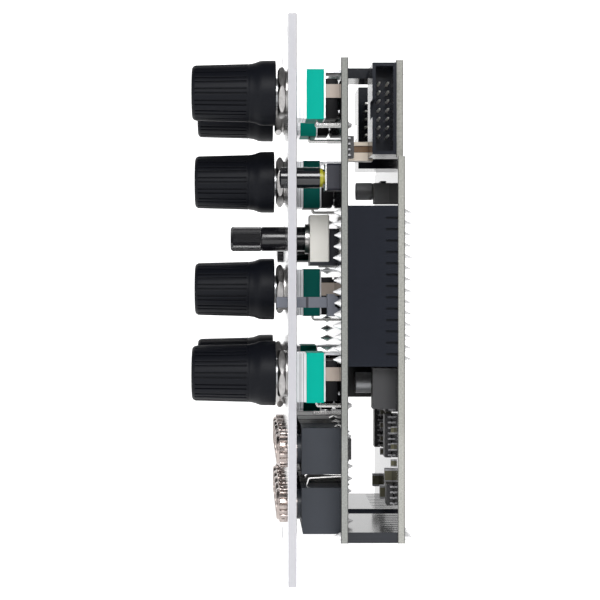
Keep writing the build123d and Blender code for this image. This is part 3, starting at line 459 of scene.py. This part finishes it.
# %% Panel and boards
board_half = 0.8
lacquer = (0.006, 0.006, 0.007)
control_black = layered(
    "control_board_black", face=lacquer, edge=(0.185, 0.19, 0.18), line=(0.016, 0.016, 0.016),
    middle=10.7, half=board_half, line_share=0.20, roughness=0.07, fibre_scale=2600.0)
main_black = layered(
    "main_board_black", face=lacquer, edge=(0.25, 0.25, 0.23), line=(0.028, 0.028, 0.025),
    middle=23.4, half=board_half, line_share=0.18, roughness=0.07, fibre_scale=2600.0)
panel_silver = layered(
    "panel_silver", face=(0.80, 0.80, 0.81), edge=(0.37, 0.367, 0.39), line=(0.27, 0.268, 0.285),
    middle=-1.0, half=1.0, line_share=0.12, roughness=0.16, fibre_scale=900.0, fibre_amount=0.05,
    metallic=1.0)
print("layered:", control_black.name, main_black.name, panel_silver.name)

# %% [markdown]
# ## Metals
# Bare metals differ in gloss more than in colour. Sheet metal has rolled lines, and plated or cast
# metal has a fine grain. The cans of the capacitors and the solder are slightly dull with oxide, so
# they aren't metallic all through.

# %% Sheet, plated and cast metals
plate_steel = finish("pot_steel", (0.60, 0.61, 0.63), 0.34, metallic=1.0, effect=streaks, scale=700,
                     spread=0.25, depth=0.003)
cover_steel = finish("cover_steel", (0.90, 0.90, 0.90), 0.25, metallic=1.0, effect=streaks,
                     scale=900, depth=0.002, drift_amount=0.05)
can_metal = finish("can_aluminium", (0.60, 0.61, 0.63), 0.50, metallic=0.85, effect=streaks,
                   scale=900, spread=0.12, depth=0.0015, drift_amount=0.06)
nut_nickel = finish("nut_nickel", (0.40, 0.39, 0.385), 0.34, metallic=1.0, scale=1500, spread=0.3,
                    depth=0.010, drift_amount=0.40, drift_scale=700)
jack_nickel = finish("jack_nickel", (0.38, 0.33, 0.31), 0.24, metallic=1.0, scale=1800, spread=0.12,
                     depth=0.002, drift_scale=400)
wire_tin = finish("wire_tin", (0.78, 0.77, 0.76), 0.22, metallic=1.0, scale=2500, spread=0.2,
                  depth=0.004)
lead_tin = finish("chip_lead_tin", (0.30, 0.30, 0.31), 0.45, metallic=1.0, scale=2500, spread=0.2,
                  depth=0.004, drift_amount=0.3, drift_scale=900)
shaft_metal = finish("shaft_metal", (0.72, 0.72, 0.73), 0.3, metallic=1.0, spread=0.2, depth=0.004)
pin_tip_metal = finish("header_pin_metal", (0.86, 0.84, 0.80), 0.30, metallic=1.0, spread=0.1,
                       depth=0.004)
pin_gold = finish("pin_gold", (0.78, 0.73, 0.62), 0.2, metallic=1.0, depth=0.004)
solder = finish("solder", (0.80, 0.80, 0.81), 0.26, metallic=0.45, scale=1400, spread=0.2,
                depth=0.006, drift_amount=0.1)
print("finishes so far:", len(bpy.data.materials))

# %% [markdown]
# ## Bands across a piece
# The frames of the pots are folded from sheet, and thin dark lines are painted along the folds beside the
# panel as painted shade in the creases. The switch lever has a dark band. Both lie at a fixed depth, so a
# mask on the depth paints them over a copy of the plain finish.


# %% Bands
def banded(source, name, depths, half, shade):
    """A copy of a finish with bands of another shade, each at a depth in millimetres."""
    material = source.copy()
    material.name = name
    tree = material.node_tree
    depth_axis = object_axes(tree)["Y"]
    mask = 0.0
    for depth in depths:
        offset = mix_math(tree, "SUBTRACT", depth_axis, depth * millimetre)
        distance = mix_math(tree, "ABSOLUTE", offset, 0)
        mask = mix_math(tree, "MAXIMUM", mask, mix_math(tree, "LESS_THAN", distance, half * millimetre))
    paint_over(material, mask, shade)
    return material


# painted shade: dark bands along the folds of the frames
frame_steel_fold_shade = banded(plate_steel, "pot_frame_steel", depths=(0.88, 1.15, 1.72), half=0.05,
                     shade=(0.16, 0.16, 0.17))
lever_grey = banded(switch_grey, "switch_lever_grey", depths=(2.68,), half=0.31,
                    shade=(0.006, 0.007, 0.016))
print("banded:", frame_steel_fold_shade.name, lever_grey.name)

# %% [markdown]
# ## Dressing the nodes
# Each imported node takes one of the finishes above.


# %% Assign
def dress(material, *names):
    """Give CAD nodes this material."""
    for name in names:
        data = nodes[name].data
        data.materials.clear()
        data.materials.append(material)


dress(panel_silver, "front_panel")
dress(control_black, "control_board")
dress(main_black, "main_board")
dress(slate, "jack_housings")
dress(connector_black, "side_socket_strips", "edge_socket_strips", "side_pin_strips", "edge_pin_strips",
      "side_header_shrouds")
dress(base_dark, "button_bases", "encoder_foot", "capacitor_bases")
dress(cap_black, "right_button_cap", "left_button_cap")
dress(shaft_black, "encoder_shaft")
dress(teal, "pot_bodies")
dress(cream, "pot_lugs")
dress(can_white, "encoder_can")
dress(yellow, "right_button_plunger", "left_button_plunger")
dress(lever_grey, "switch_lever")
dress(switch_grey, "switch_body")
dress(chip_black, "chip_bodies")
dress(bobbin_cream, "coil_bobbin")
dress(winding_brown, "coil_winding")
dress(ceramic, "passive_bodies")
dress(track_black, "pot_tracks")
dress(frame_steel_fold_shade, "pot_frames")
dress(plate_steel, "pot_rear_plates")
dress(nut_nickel, "pot_nuts", "pot_washers", "encoder_collar")
dress(jack_nickel, "jack_nuts", "jack_sleeves")
dress(wire_tin, "pot_terminals", "encoder_terminals", "jack_springs", "jack_ground_legs")
dress(lead_tin, "chip_leads", "passive_ends")
dress(shaft_metal, *[f"pot_shaft_{n}" for n in range(1, 8)])
dress(cover_steel, "button_covers", "button_domes")
dress(pin_gold, "connector_pins", "side_header_pins")
dress(can_metal, "capacitor_cans")
dress(solder, "control_board_solder", "main_rear_solder")
plain = [name for name, node in nodes.items() if not node.data.materials or not node.data.materials[0]]
print("nodes without a finish so far:", plain)

# %% [markdown]
# ## Modelling by hand
# A turned part is made as at the keyboard: a ring of edges is added, then extruded and resized
# again and again along its outline. The helpers below hold those steps. Everything is deselected
# first, because an operator acts on all that is selected. A face counts as looking along an axis
# when that part of its normal is over square_on.

# %% Helpers for selecting
square_on = 0.9


def choose(piece):
    """Select one piece alone and make it the active one."""
    bpy.ops.object.select_all(action="DESELECT")
    piece.select_set(True)
    bpy.context.view_layer.objects.active = piece


def edit(piece):
    """Open one piece in edit mode."""
    choose(piece)
    bpy.ops.object.mode_set(mode="EDIT")
    bpy.ops.mesh.select_mode(type="VERT")


def select_where(piece, test, kind="faces"):
    """Select the faces, edges or vertices of the open piece that pass a test."""
    bpy.ops.mesh.select_all(action="DESELECT")
    bpy.ops.mesh.select_mode(type={"faces": "FACE", "edges": "EDGE", "verts": "VERT"}[kind])
    shape = bmesh.from_edit_mesh(piece.data)
    found = 0
    for element in getattr(shape, kind):
        if test(element):
            element.select_set(True)
            found += 1
    shape.select_flush_mode()
    bmesh.update_edit_mesh(piece.data)
    return found


def squeeze(factor, centre=(0, 0, 0)):
    """Draw what is selected in towards a line along the Y axis."""
    bpy.ops.transform.resize(value=(factor, 1, factor), center_override=centre)


# %% Helpers for shaping
merge_distance = 1e-7


def ring_stack(name, outline, sides, close_front=True, close_rear=True):
    """Extrude a ring of edges along the Y axis through (y, radius) pairs in millimetres."""
    y, radius = [v * millimetre for v in outline[0]]
    bpy.ops.object.select_all(action="DESELECT")
    bpy.ops.mesh.primitive_circle_add(vertices=sides, radius=radius, location=(0, y, 0),
                                      rotation=(math.radians(90), 0, 0))
    piece = bpy.context.object
    piece.name = name
    bpy.ops.object.transform_apply(location=True, rotation=True, scale=True)
    edit(piece)
    bpy.ops.mesh.select_mode(type="EDGE")
    bpy.ops.mesh.select_all(action="SELECT")
    if close_front:
        bpy.ops.mesh.edge_face_add()
        bpy.ops.mesh.duplicate()
        bpy.ops.mesh.delete(type="ONLY_FACE")
        select_where(piece, lambda edge: not edge.link_faces, "edges")
    for next_y, next_radius in outline[1:]:
        next_y, next_radius = next_y * millimetre, next_radius * millimetre
        extrude_by(0, next_y - y, 0)
        if next_radius != radius:
            squeeze(next_radius / radius, (0, next_y, 0))
        y, radius = next_y, next_radius
    if close_rear:
        bpy.ops.mesh.edge_face_add()
    bpy.ops.mesh.select_all(action="SELECT")
    bpy.ops.mesh.remove_doubles(threshold=merge_distance)
    bpy.ops.mesh.normals_make_consistent(inside=False)
    bpy.ops.object.mode_set(mode="OBJECT")
    return piece


def apply_bevel(piece, width, segments=2, angle=35):
    """Round the sharp edges of a piece with a Bevel modifier, and apply it."""
    choose(piece)
    bevel = piece.modifiers.new("rounded", "BEVEL")
    bevel.width = width * millimetre
    bevel.segments = segments
    bevel.limit_method = "ANGLE"
    bevel.angle_limit = math.radians(angle)
    bpy.ops.object.modifier_apply(modifier=bevel.name)
    bpy.ops.object.shade_smooth_by_angle(angle=math.radians(angle))


# %% Helpers for copies
def clone(piece, name):
    """A copy of a piece with a mesh of its own."""
    twin = piece.copy()
    twin.data = piece.data.copy()
    twin.name = twin.data.name = name
    scene.collection.objects.link(twin)
    return twin


def copy_to(piece, name, x, z, turn=0.0):
    """A copy that is turned about the Y axis by degrees and moved to a place on the panel."""
    twin = clone(piece, name)
    twin.rotation_euler = (0, math.radians(turn), 0)
    twin.location = (x * millimetre, 0, z * millimetre)
    choose(twin)
    bpy.ops.object.transform_apply(location=True, rotation=True, scale=True)
    return twin


def remove(piece):
    """Delete a pattern piece once its copies are made."""
    bpy.data.objects.remove(piece, do_unlink=True)


def node_centre(name):
    """The middle of a node, as (X, Z) in millimetres."""
    low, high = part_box(name)
    return ((low[0] + high[0]) / 2 / millimetre, (low[2] + high[2]) / 2 / millimetre)


def off_axis(point):
    """How far a point is from the Y axis, in millimetres."""
    return math.hypot(point.x, point.z) / millimetre


def column(point, sides):
    """How many sides of a turned piece lie between the X axis and a point, going round."""
    return math.degrees(math.atan2(point.z, point.x)) % 360 / (360 / sides)


# %% [markdown]
# ## Knobs
# The real knob is one moulding in soft-touch plastic: a slightly tapered grip with thin grooves,
# a shallow ring, a smooth flare and a plain skirt. The grooves come in pairs, nine degrees apart
# and then fifteen, so a ring of 120 sides, three degrees each, has a side for every groove.

# %% One knob
knob_front, knob_rear = -23.85, -4.55
knob_sides = 120
groove_depth = 0.42
grip_front, grip_rear, grip_least_radius = -23.05, -11.3, 5.9
groove_period, grooves_in_period = 8, (0, 3)
knob_outline = [
    (knob_front, 5.40), (knob_front + 0.09, 5.82), (knob_front + 0.34, 6.13),
    (knob_front + 0.75, 6.32), (knob_front + 0.95, 6.36), (-11.25, 6.66), (-10.95, 6.70),
    (-10.75, 6.60), (-10.55, 6.71), (-10.2, 6.74), (-9.8, 6.80), (-9.4, 6.90), (-9.0, 7.04),
    (-8.65, 7.18), (-8.3, 7.30), (-7.9, 7.39), (-7.4, 7.43), (-4.8, 7.45), (-4.65, 7.42),
    (knob_rear, 7.30), (knob_rear, 6.5), (-4.65, 6.38), (-7.1, 6.35), (-7.15, 3.2), (-7.25, 3.04),
    (-17.5, 3.03),
]
knob = ring_stack("knob_pattern", knob_outline, knob_sides)


def in_groove(face):
    """True for a side face of the grip whose column holds a groove."""
    centre = face.calc_center_median()
    on_grip = grip_front < centre.y / millimetre < grip_rear and off_axis(centre) >= grip_least_radius
    return on_grip and int(column(centre, knob_sides)) % groove_period in grooves_in_period


edit(knob)
print("groove faces:", select_where(knob, in_groove))
sink = {"value": -groove_depth * millimetre}
bpy.ops.mesh.extrude_region_shrink_fatten(TRANSFORM_OT_shrink_fatten=sink)
bpy.ops.object.mode_set(mode="OBJECT")
apply_bevel(knob, width=0.09)

# %% [markdown]
# The six knobs are copies of this one. Each is turned a little, as knobs are on a used panel.

# %% Six knobs
knob_turns = (8.7, 3.0, 5.0, 1.0, 7.0, 2.0)
for n, turn in enumerate(knob_turns, start=1):
    x, z = node_centre(f"knob_{n}")
    piece = copy_to(knob, f"knob_{n}_grip", x, z, turn)
    piece.data.materials.append(knob_plastic)
    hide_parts(f"knob_{n}")
    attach(piece, f"control_{n}")
remove(knob)
print("knobs:", len(knob_turns))

# %% [markdown]
# ## Hex nuts
# A pressed nut has both faces turned to a shallow cone, which leaves a curved edge on every flat.
# Where a hexagon and a lens-shaped disc overlap is exactly that shape, so a Boolean keeps only
# what the two share.

# %% One hex nut
nut_front, nut_rear = -4.1, -2.25
nut_flats = 10.6
nut_bore = 3.49
nut_face_slope = [(0.0, nut_bore), (0.0, 4.95), (0.12, 5.28), (0.35, 5.68), (0.75, 6.2)]
lens_sides = 72

nut_corner = nut_flats / 2 / math.cos(math.radians(30))
nut_middle = (nut_front + nut_rear) / 2
bpy.ops.object.select_all(action="DESELECT")
bpy.ops.mesh.primitive_cylinder_add(
    vertices=6, radius=nut_corner * millimetre, depth=(nut_rear - nut_front) * millimetre,
    location=(0, nut_middle * millimetre, 0), rotation=(math.radians(90), 0, 0))
hex_nut = bpy.context.object
hex_nut.name = "hex_nut_pattern"
bpy.ops.object.transform_apply(location=True, rotation=True, scale=True)
lens_outline = [(nut_front + step, radius) for step, radius in nut_face_slope]
lens_outline += [(nut_rear - step, radius) for step, radius in reversed(nut_face_slope)]
lens_outline += lens_outline[:1]
lens = ring_stack("nut_lens", lens_outline, lens_sides, close_front=False, close_rear=False)
choose(hex_nut)
overlap = hex_nut.modifiers.new("lens", "BOOLEAN")
overlap.operation = "INTERSECT"
overlap.solver = "EXACT"
overlap.object = lens
bpy.ops.object.modifier_apply(modifier=overlap.name)
remove(lens)
apply_bevel(hex_nut, width=0.05, angle=25)
print("nut faces:", len(hex_nut.data.polygons))

# %% Seven hex nuts
nut_turns = (22, 22, 6, 13, 27, 18, 10)
pot_places = [node_centre(f"pot_shaft_{n}") for n in range(1, 8)]
for n, ((x, z), turn) in enumerate(zip(pot_places, nut_turns), start=1):
    piece = copy_to(hex_nut, f"hex_nut_{n}", x, z, turn)
    piece.data.materials.append(nut_nickel)
    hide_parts("pot_nuts")
    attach(piece, "module")
remove(hex_nut)
print("hex nuts:", len(pot_places))

# %% [markdown]
# ## Round jack nuts
# Each socket is held by a round nut with a fluted rim, a tapered collar in front and two slots for
# a key. The flutes are made by drawing every fifth line of vertices in towards the axis, which
# leaves twenty broad teeth between them.

# %% One jack nut
rim_front, rim_rear = -3.75, -2.0
rim_sides = 100
rim_radius = 4.17
rim_least_radius = 3.95
nut_hole = 3.0
flute_every, flute_squeeze = 5, 0.91
slot_every, slot_columns = 50, (1, 2, 3)
slot_rear, slot_squeeze = -2.96, 0.9
jack_nut = ring_stack("jack_nut_pattern", [
    (-4.45, nut_hole), (-4.45, 3.3), (-4.38, 3.42), (-4.1, 3.55), (-3.8, 3.72), (rim_front, 3.8),
    (rim_front, 4.02), (-3.66, rim_radius), (-2.95, rim_radius), (-2.1, rim_radius),
    (rim_rear, 4.05), (rim_rear, nut_hole), (-4.45, nut_hole),
], rim_sides, close_front=False, close_rear=False)


def rim_column(point):
    """Which of the rim's columns a point is in."""
    return int(column(point, rim_sides) + 0.5) % rim_sides


def in_flute(vertex):
    """True for every fifth line of vertices on the rim."""
    return off_axis(vertex.co) > rim_least_radius and rim_column(vertex.co) % flute_every == 0


def in_slot(face):
    """True for the faces of the rim's front half where a key would grip."""
    centre = face.calc_center_median()
    on_rim = centre.y < slot_rear * millimetre and off_axis(centre) > rim_least_radius
    return on_rim and rim_column(centre) % slot_every in slot_columns


edit(jack_nut)
fluted = select_where(jack_nut, in_flute, "verts")
squeeze(flute_squeeze)
slot_faces = select_where(jack_nut, in_slot)
bpy.ops.mesh.extrude_region_move()
squeeze(slot_squeeze)
bpy.ops.object.mode_set(mode="OBJECT")
apply_bevel(jack_nut, width=0.03, segments=1, angle=28)
print("flute vertices:", fluted, "slot faces:", slot_faces, "faces:", len(jack_nut.data.polygons))

# %% Ten jack nuts
jack_columns = (-20.4, -10.2, 0, 10.2, 20.4)
jack_rows = (-34.4, -47.0)
jack_turns = (20, 75, 130, 48, 5, 160, 95, 33, 118, 172)
jack_places = [(x, z) for z in jack_rows for x in jack_columns]
for n, ((x, z), turn) in enumerate(zip(jack_places, jack_turns), start=1):
    piece = copy_to(jack_nut, f"jack_nut_{n}", x, z, turn)
    piece.data.materials.append(jack_nickel)
    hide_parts("jack_nuts")
    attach(piece, "module")
remove(jack_nut)
print("jack nuts:", len(jack_places))

# %% [markdown]
# ## Knurled shaft
# The bare control has a black shaft with a straight knurl on its front half. The shaft is turned
# with 72 sides, and every second line of the knurl is drawn in. Its rear end widens to the rotor.

# %% Shaft with its rotor
shaft_sides = 72
knurl_front, knurl_rear = -14.8, -7.9
knurl_squeeze = 0.885
knurl_sharp_angle = 12
shaft_radius, rotor_radius = 3.0, 3.9
shaft_outline = [
    (-15.2, 2.45), (-15.1, 2.62), (-14.75, 2.92), (-14.55, shaft_radius), (-7.95, shaft_radius),
    (-7.8, 2.86), (-7.65, 2.8), (-7.5, 2.98), (-7.4, shaft_radius), (5.05, shaft_radius),
    (5.05, rotor_radius), (7.55, rotor_radius),
]
knurled_shaft = ring_stack("knurled_shaft", shaft_outline, shaft_sides)


def on_knurl(vertex):
    """True for every second line of vertices on the knurled half."""
    on_front_half = knurl_front < vertex.co.y / millimetre < knurl_rear
    return on_front_half and round(column(vertex.co, shaft_sides)) % 2 == 1


edit(knurled_shaft)
print("knurl vertices:", select_where(knurled_shaft, on_knurl, "verts"))
squeeze(knurl_squeeze)
bpy.ops.object.mode_set(mode="OBJECT")
bpy.ops.object.shade_smooth_by_angle(angle=math.radians(knurl_sharp_angle))
x, z = node_centre("encoder_shaft")
piece = copy_to(knurled_shaft, "encoder_knurled_shaft", x, z)
piece.data.materials.append(shaft_black)
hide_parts("encoder_shaft")
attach(piece, "knurled_control")
remove(knurled_shaft)

# %% [markdown]
# ## Solder joints
# Molten solder climbs each pin and sets as a cone with hollow sides, bright all round. One cone
# with eight sides is enough, because there are more than a hundred and thirty of them. It is copied
# to every pin, and the copies on one side of a board are joined into one piece. No two joints are
# quite alike, so each copy is turned further and is a little wider or lower than the next.

# %% One cone
cone_sides = 8
cone_sharp_angle = 50
cone_outline = [(0.0, 0.95), (0.1, 0.92), (0.45, 0.74), (0.9, 0.5), (1.35, 0.28), (1.62, 0.18),
                (1.7, 0.1)]
cone = ring_stack("cone_pattern", cone_outline, cone_sides)
choose(cone)
bpy.ops.object.shade_smooth_by_angle(angle=math.radians(cone_sharp_angle))
print("cone faces:", len(cone.data.polygons))


# %% Joined copies
def join_copies(copies, name, material, node):
    """Join copies into one piece that stands for a node and stays with the module."""
    bpy.ops.object.select_all(action="DESELECT")
    for twin in copies:
        twin.select_set(True)
    bpy.context.view_layer.objects.active = copies[0]
    bpy.ops.object.transform_apply(location=True, rotation=True, scale=True)
    bpy.ops.object.join()
    piece = bpy.context.object
    piece.name = piece.data.name = name
    piece.data.materials.append(material)
    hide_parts(node)
    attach(piece, "module")
    return piece


def solder_side(name, places, face, outward, node):
    """Copy the cone to each place on a board's face, and join the copies."""
    turn_step, width_change, height_step = 37, 0.06, 0.08
    copies = []
    for n, (x, z) in enumerate(places):
        twin = clone(cone, name)
        twin.location = (x * millimetre, face * millimetre, z * millimetre)
        twin.rotation_euler = (0 if outward > 0 else math.pi, math.radians(turn_step * n), 0)
        width = 1 + width_change * math.sin(5 * n)
        twin.scale = (width, 1 - height_step * (n % 3), width)
        copies.append(twin)
    return join_copies(copies, name, solder, node)


# %% [markdown]
# The strips between the boards have their pins at both sides, along the lower edge and at the top.
# On the front of the control board, the socket housings cover most of the lower row. Behind it
# stand the joints of the pots, three to each, and of the jack sockets, five to each column.

# %% Cones on the boards
pin_pitch = 2.54
side_pins, foot_pins, top_pins = 14, 10, 4
strip_side_x, strip_side_z = 28.8, 3.2
strip_foot_x, strip_foot_z = 16.5, -53.2
strip_top_x, strip_top_z = 7.98, 53.2
housing_top, housing_side = -29, 25.8
pot_pin_drop, pot_pin_steps = 7.45, (-2.5, 0, 2.5)
jack_pin_heights = (-31.4, -38.3, -41.15, -44.0, -50.9)
control_front, control_rear, main_rear = 9.9, 11.5, 24.2


def pin_row(x, z, count, along_x):
    """The places of a row of pins about its centre, in millimetres."""
    steps = [(i - (count - 1) / 2) * pin_pitch for i in range(count)]
    return [(x + s, z) if along_x else (x, z + s) for s in steps]


strip_pins = []
for side in (1, -1):
    strip_pins += pin_row(side * strip_side_x, strip_side_z, side_pins, along_x=False)
for side in (1, -1):
    strip_pins += pin_row(side * strip_foot_x, strip_foot_z, foot_pins, along_x=True)
strip_pins += pin_row(strip_top_x, strip_top_z, top_pins, along_x=True)
clear_pins = [(x, z) for x, z in strip_pins if z > housing_top or abs(x) > housing_side]
joint_places = [(x + step, z - pot_pin_drop) for x, z in pot_places for step in pot_pin_steps]
joint_places += [(x, z) for x in jack_columns for z in jack_pin_heights]
solder_side("main_board_joints", strip_pins, main_rear, 1, "main_rear_solder")
solder_side("control_board_front_joints", clear_pins, control_front, -1, "control_board_solder")
solder_side("control_board_rear_joints", joint_places, control_rear, 1, "control_board_solder")
remove(cone)
print("solder joints:", len(strip_pins) + len(clear_pins) + len(joint_places))

# %% [markdown]
# ## Rear covers of the pots
# Behind its steel plate each pot gets a black wafer that holds the contacts, and that also stands for the
# shade between the pot and the board. A block gets a low step on its rear face, has its edges rounded and
# is copied to all seven places.

# %% Wafers
wafer_front, wafer_rear = 6.78, 9.45
wafer_half, wafer_top, wafer_bottom = 3.55, 2.9, -6.2
wafer_border, wafer_step = 0.5, 0.3
bpy.ops.object.select_all(action="DESELECT")
bpy.ops.mesh.primitive_cube_add(size=2 * millimetre)
wafer = bpy.context.object
wafer.name = "wafer_pattern"
for vertex in wafer.data.vertices:
    right, rear, upper = [value > 0 for value in vertex.co]
    vertex.co = [v * millimetre for v in (wafer_half if right else -wafer_half,
                                          wafer_rear if rear else wafer_front,
                                          wafer_top if upper else wafer_bottom)]
edit(wafer)
select_where(wafer, lambda f: f.normal.y > square_on)
bpy.ops.mesh.inset(thickness=wafer_border * millimetre)
extrude_by(0, wafer_step * millimetre, 0)
bpy.ops.object.mode_set(mode="OBJECT")
apply_bevel(wafer, width=0.12)
# painted shade: the black wafers also darken the space behind the pots
for n, (x, z) in enumerate(pot_places, start=1):
    piece = copy_to(wafer, f"pot_{n}_wafer", x, z)
    piece.data.materials.append(track_black)
    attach(piece, "module")
remove(wafer)
print("wafers:", len(pot_places))

# %% [markdown]
# ## Header pins
# The pins of the two side headers are cut from square wire with a tapered tip, and bent over to
# the board behind the housing. One pin is pulled out of a cube at its elbow: sideways to the tip
# and back to the board. The two rows differ in where their elbow is. Half a turn about the Y axis
# makes the pins of the other side.

# %% Twenty-eight pins
pin_width = 0.5
tolerance = 1e-5
pin_taper, pin_tip_share = 0.55, 0.4
pin_tip_x, pin_foot_y = 25.9, 22.6
pin_elbows = ((13.3, 20.875), (12.0, 18.875))
header_z, header_pitch, header_rows = 43.3, 2.0, 7
header_sides = (0, 180)
pin_heights = [header_z + header_pitch * (i - (header_rows - 1) / 2) for i in range(header_rows)]
pin_copies = []
for elbow_x, elbow_y in pin_elbows:
    bpy.ops.object.select_all(action="DESELECT")
    elbow = [v * millimetre for v in (elbow_x, elbow_y, 0)]
    bpy.ops.mesh.primitive_cube_add(size=pin_width * millimetre, location=elbow)
    pin = bpy.context.object
    bpy.ops.object.transform_apply(location=True, rotation=True, scale=True)
    edit(pin)
    select_where(pin, lambda f: f.normal.x > square_on)
    extrude_by((pin_tip_x - pin_taper - elbow_x - pin_width / 2) * millimetre, 0, 0)
    extrude_by(pin_taper * millimetre, 0, 0)
    tip = [v * millimetre for v in (pin_tip_x, elbow_y, 0)]
    bpy.ops.transform.resize(value=(1, pin_tip_share, pin_tip_share), center_override=tip)
    elbow_end = elbow[0] + tolerance
    select_where(pin, lambda f: f.normal.y > square_on and f.calc_center_median().x < elbow_end)
    extrude_by(0, (pin_foot_y - elbow_y - pin_width / 2) * millimetre, 0)
    bpy.ops.object.mode_set(mode="OBJECT")
    apply_bevel(pin, width=0.05, segments=1)
    pin_copies += [copy_to(pin, "header_pin", 0, z, turn) for z in pin_heights for turn in header_sides]
    remove(pin)
header_pins = join_copies(pin_copies, "header_pins", pin_tip_metal, "side_header_pins")
print("header pin faces:", len(header_pins.data.polygons))
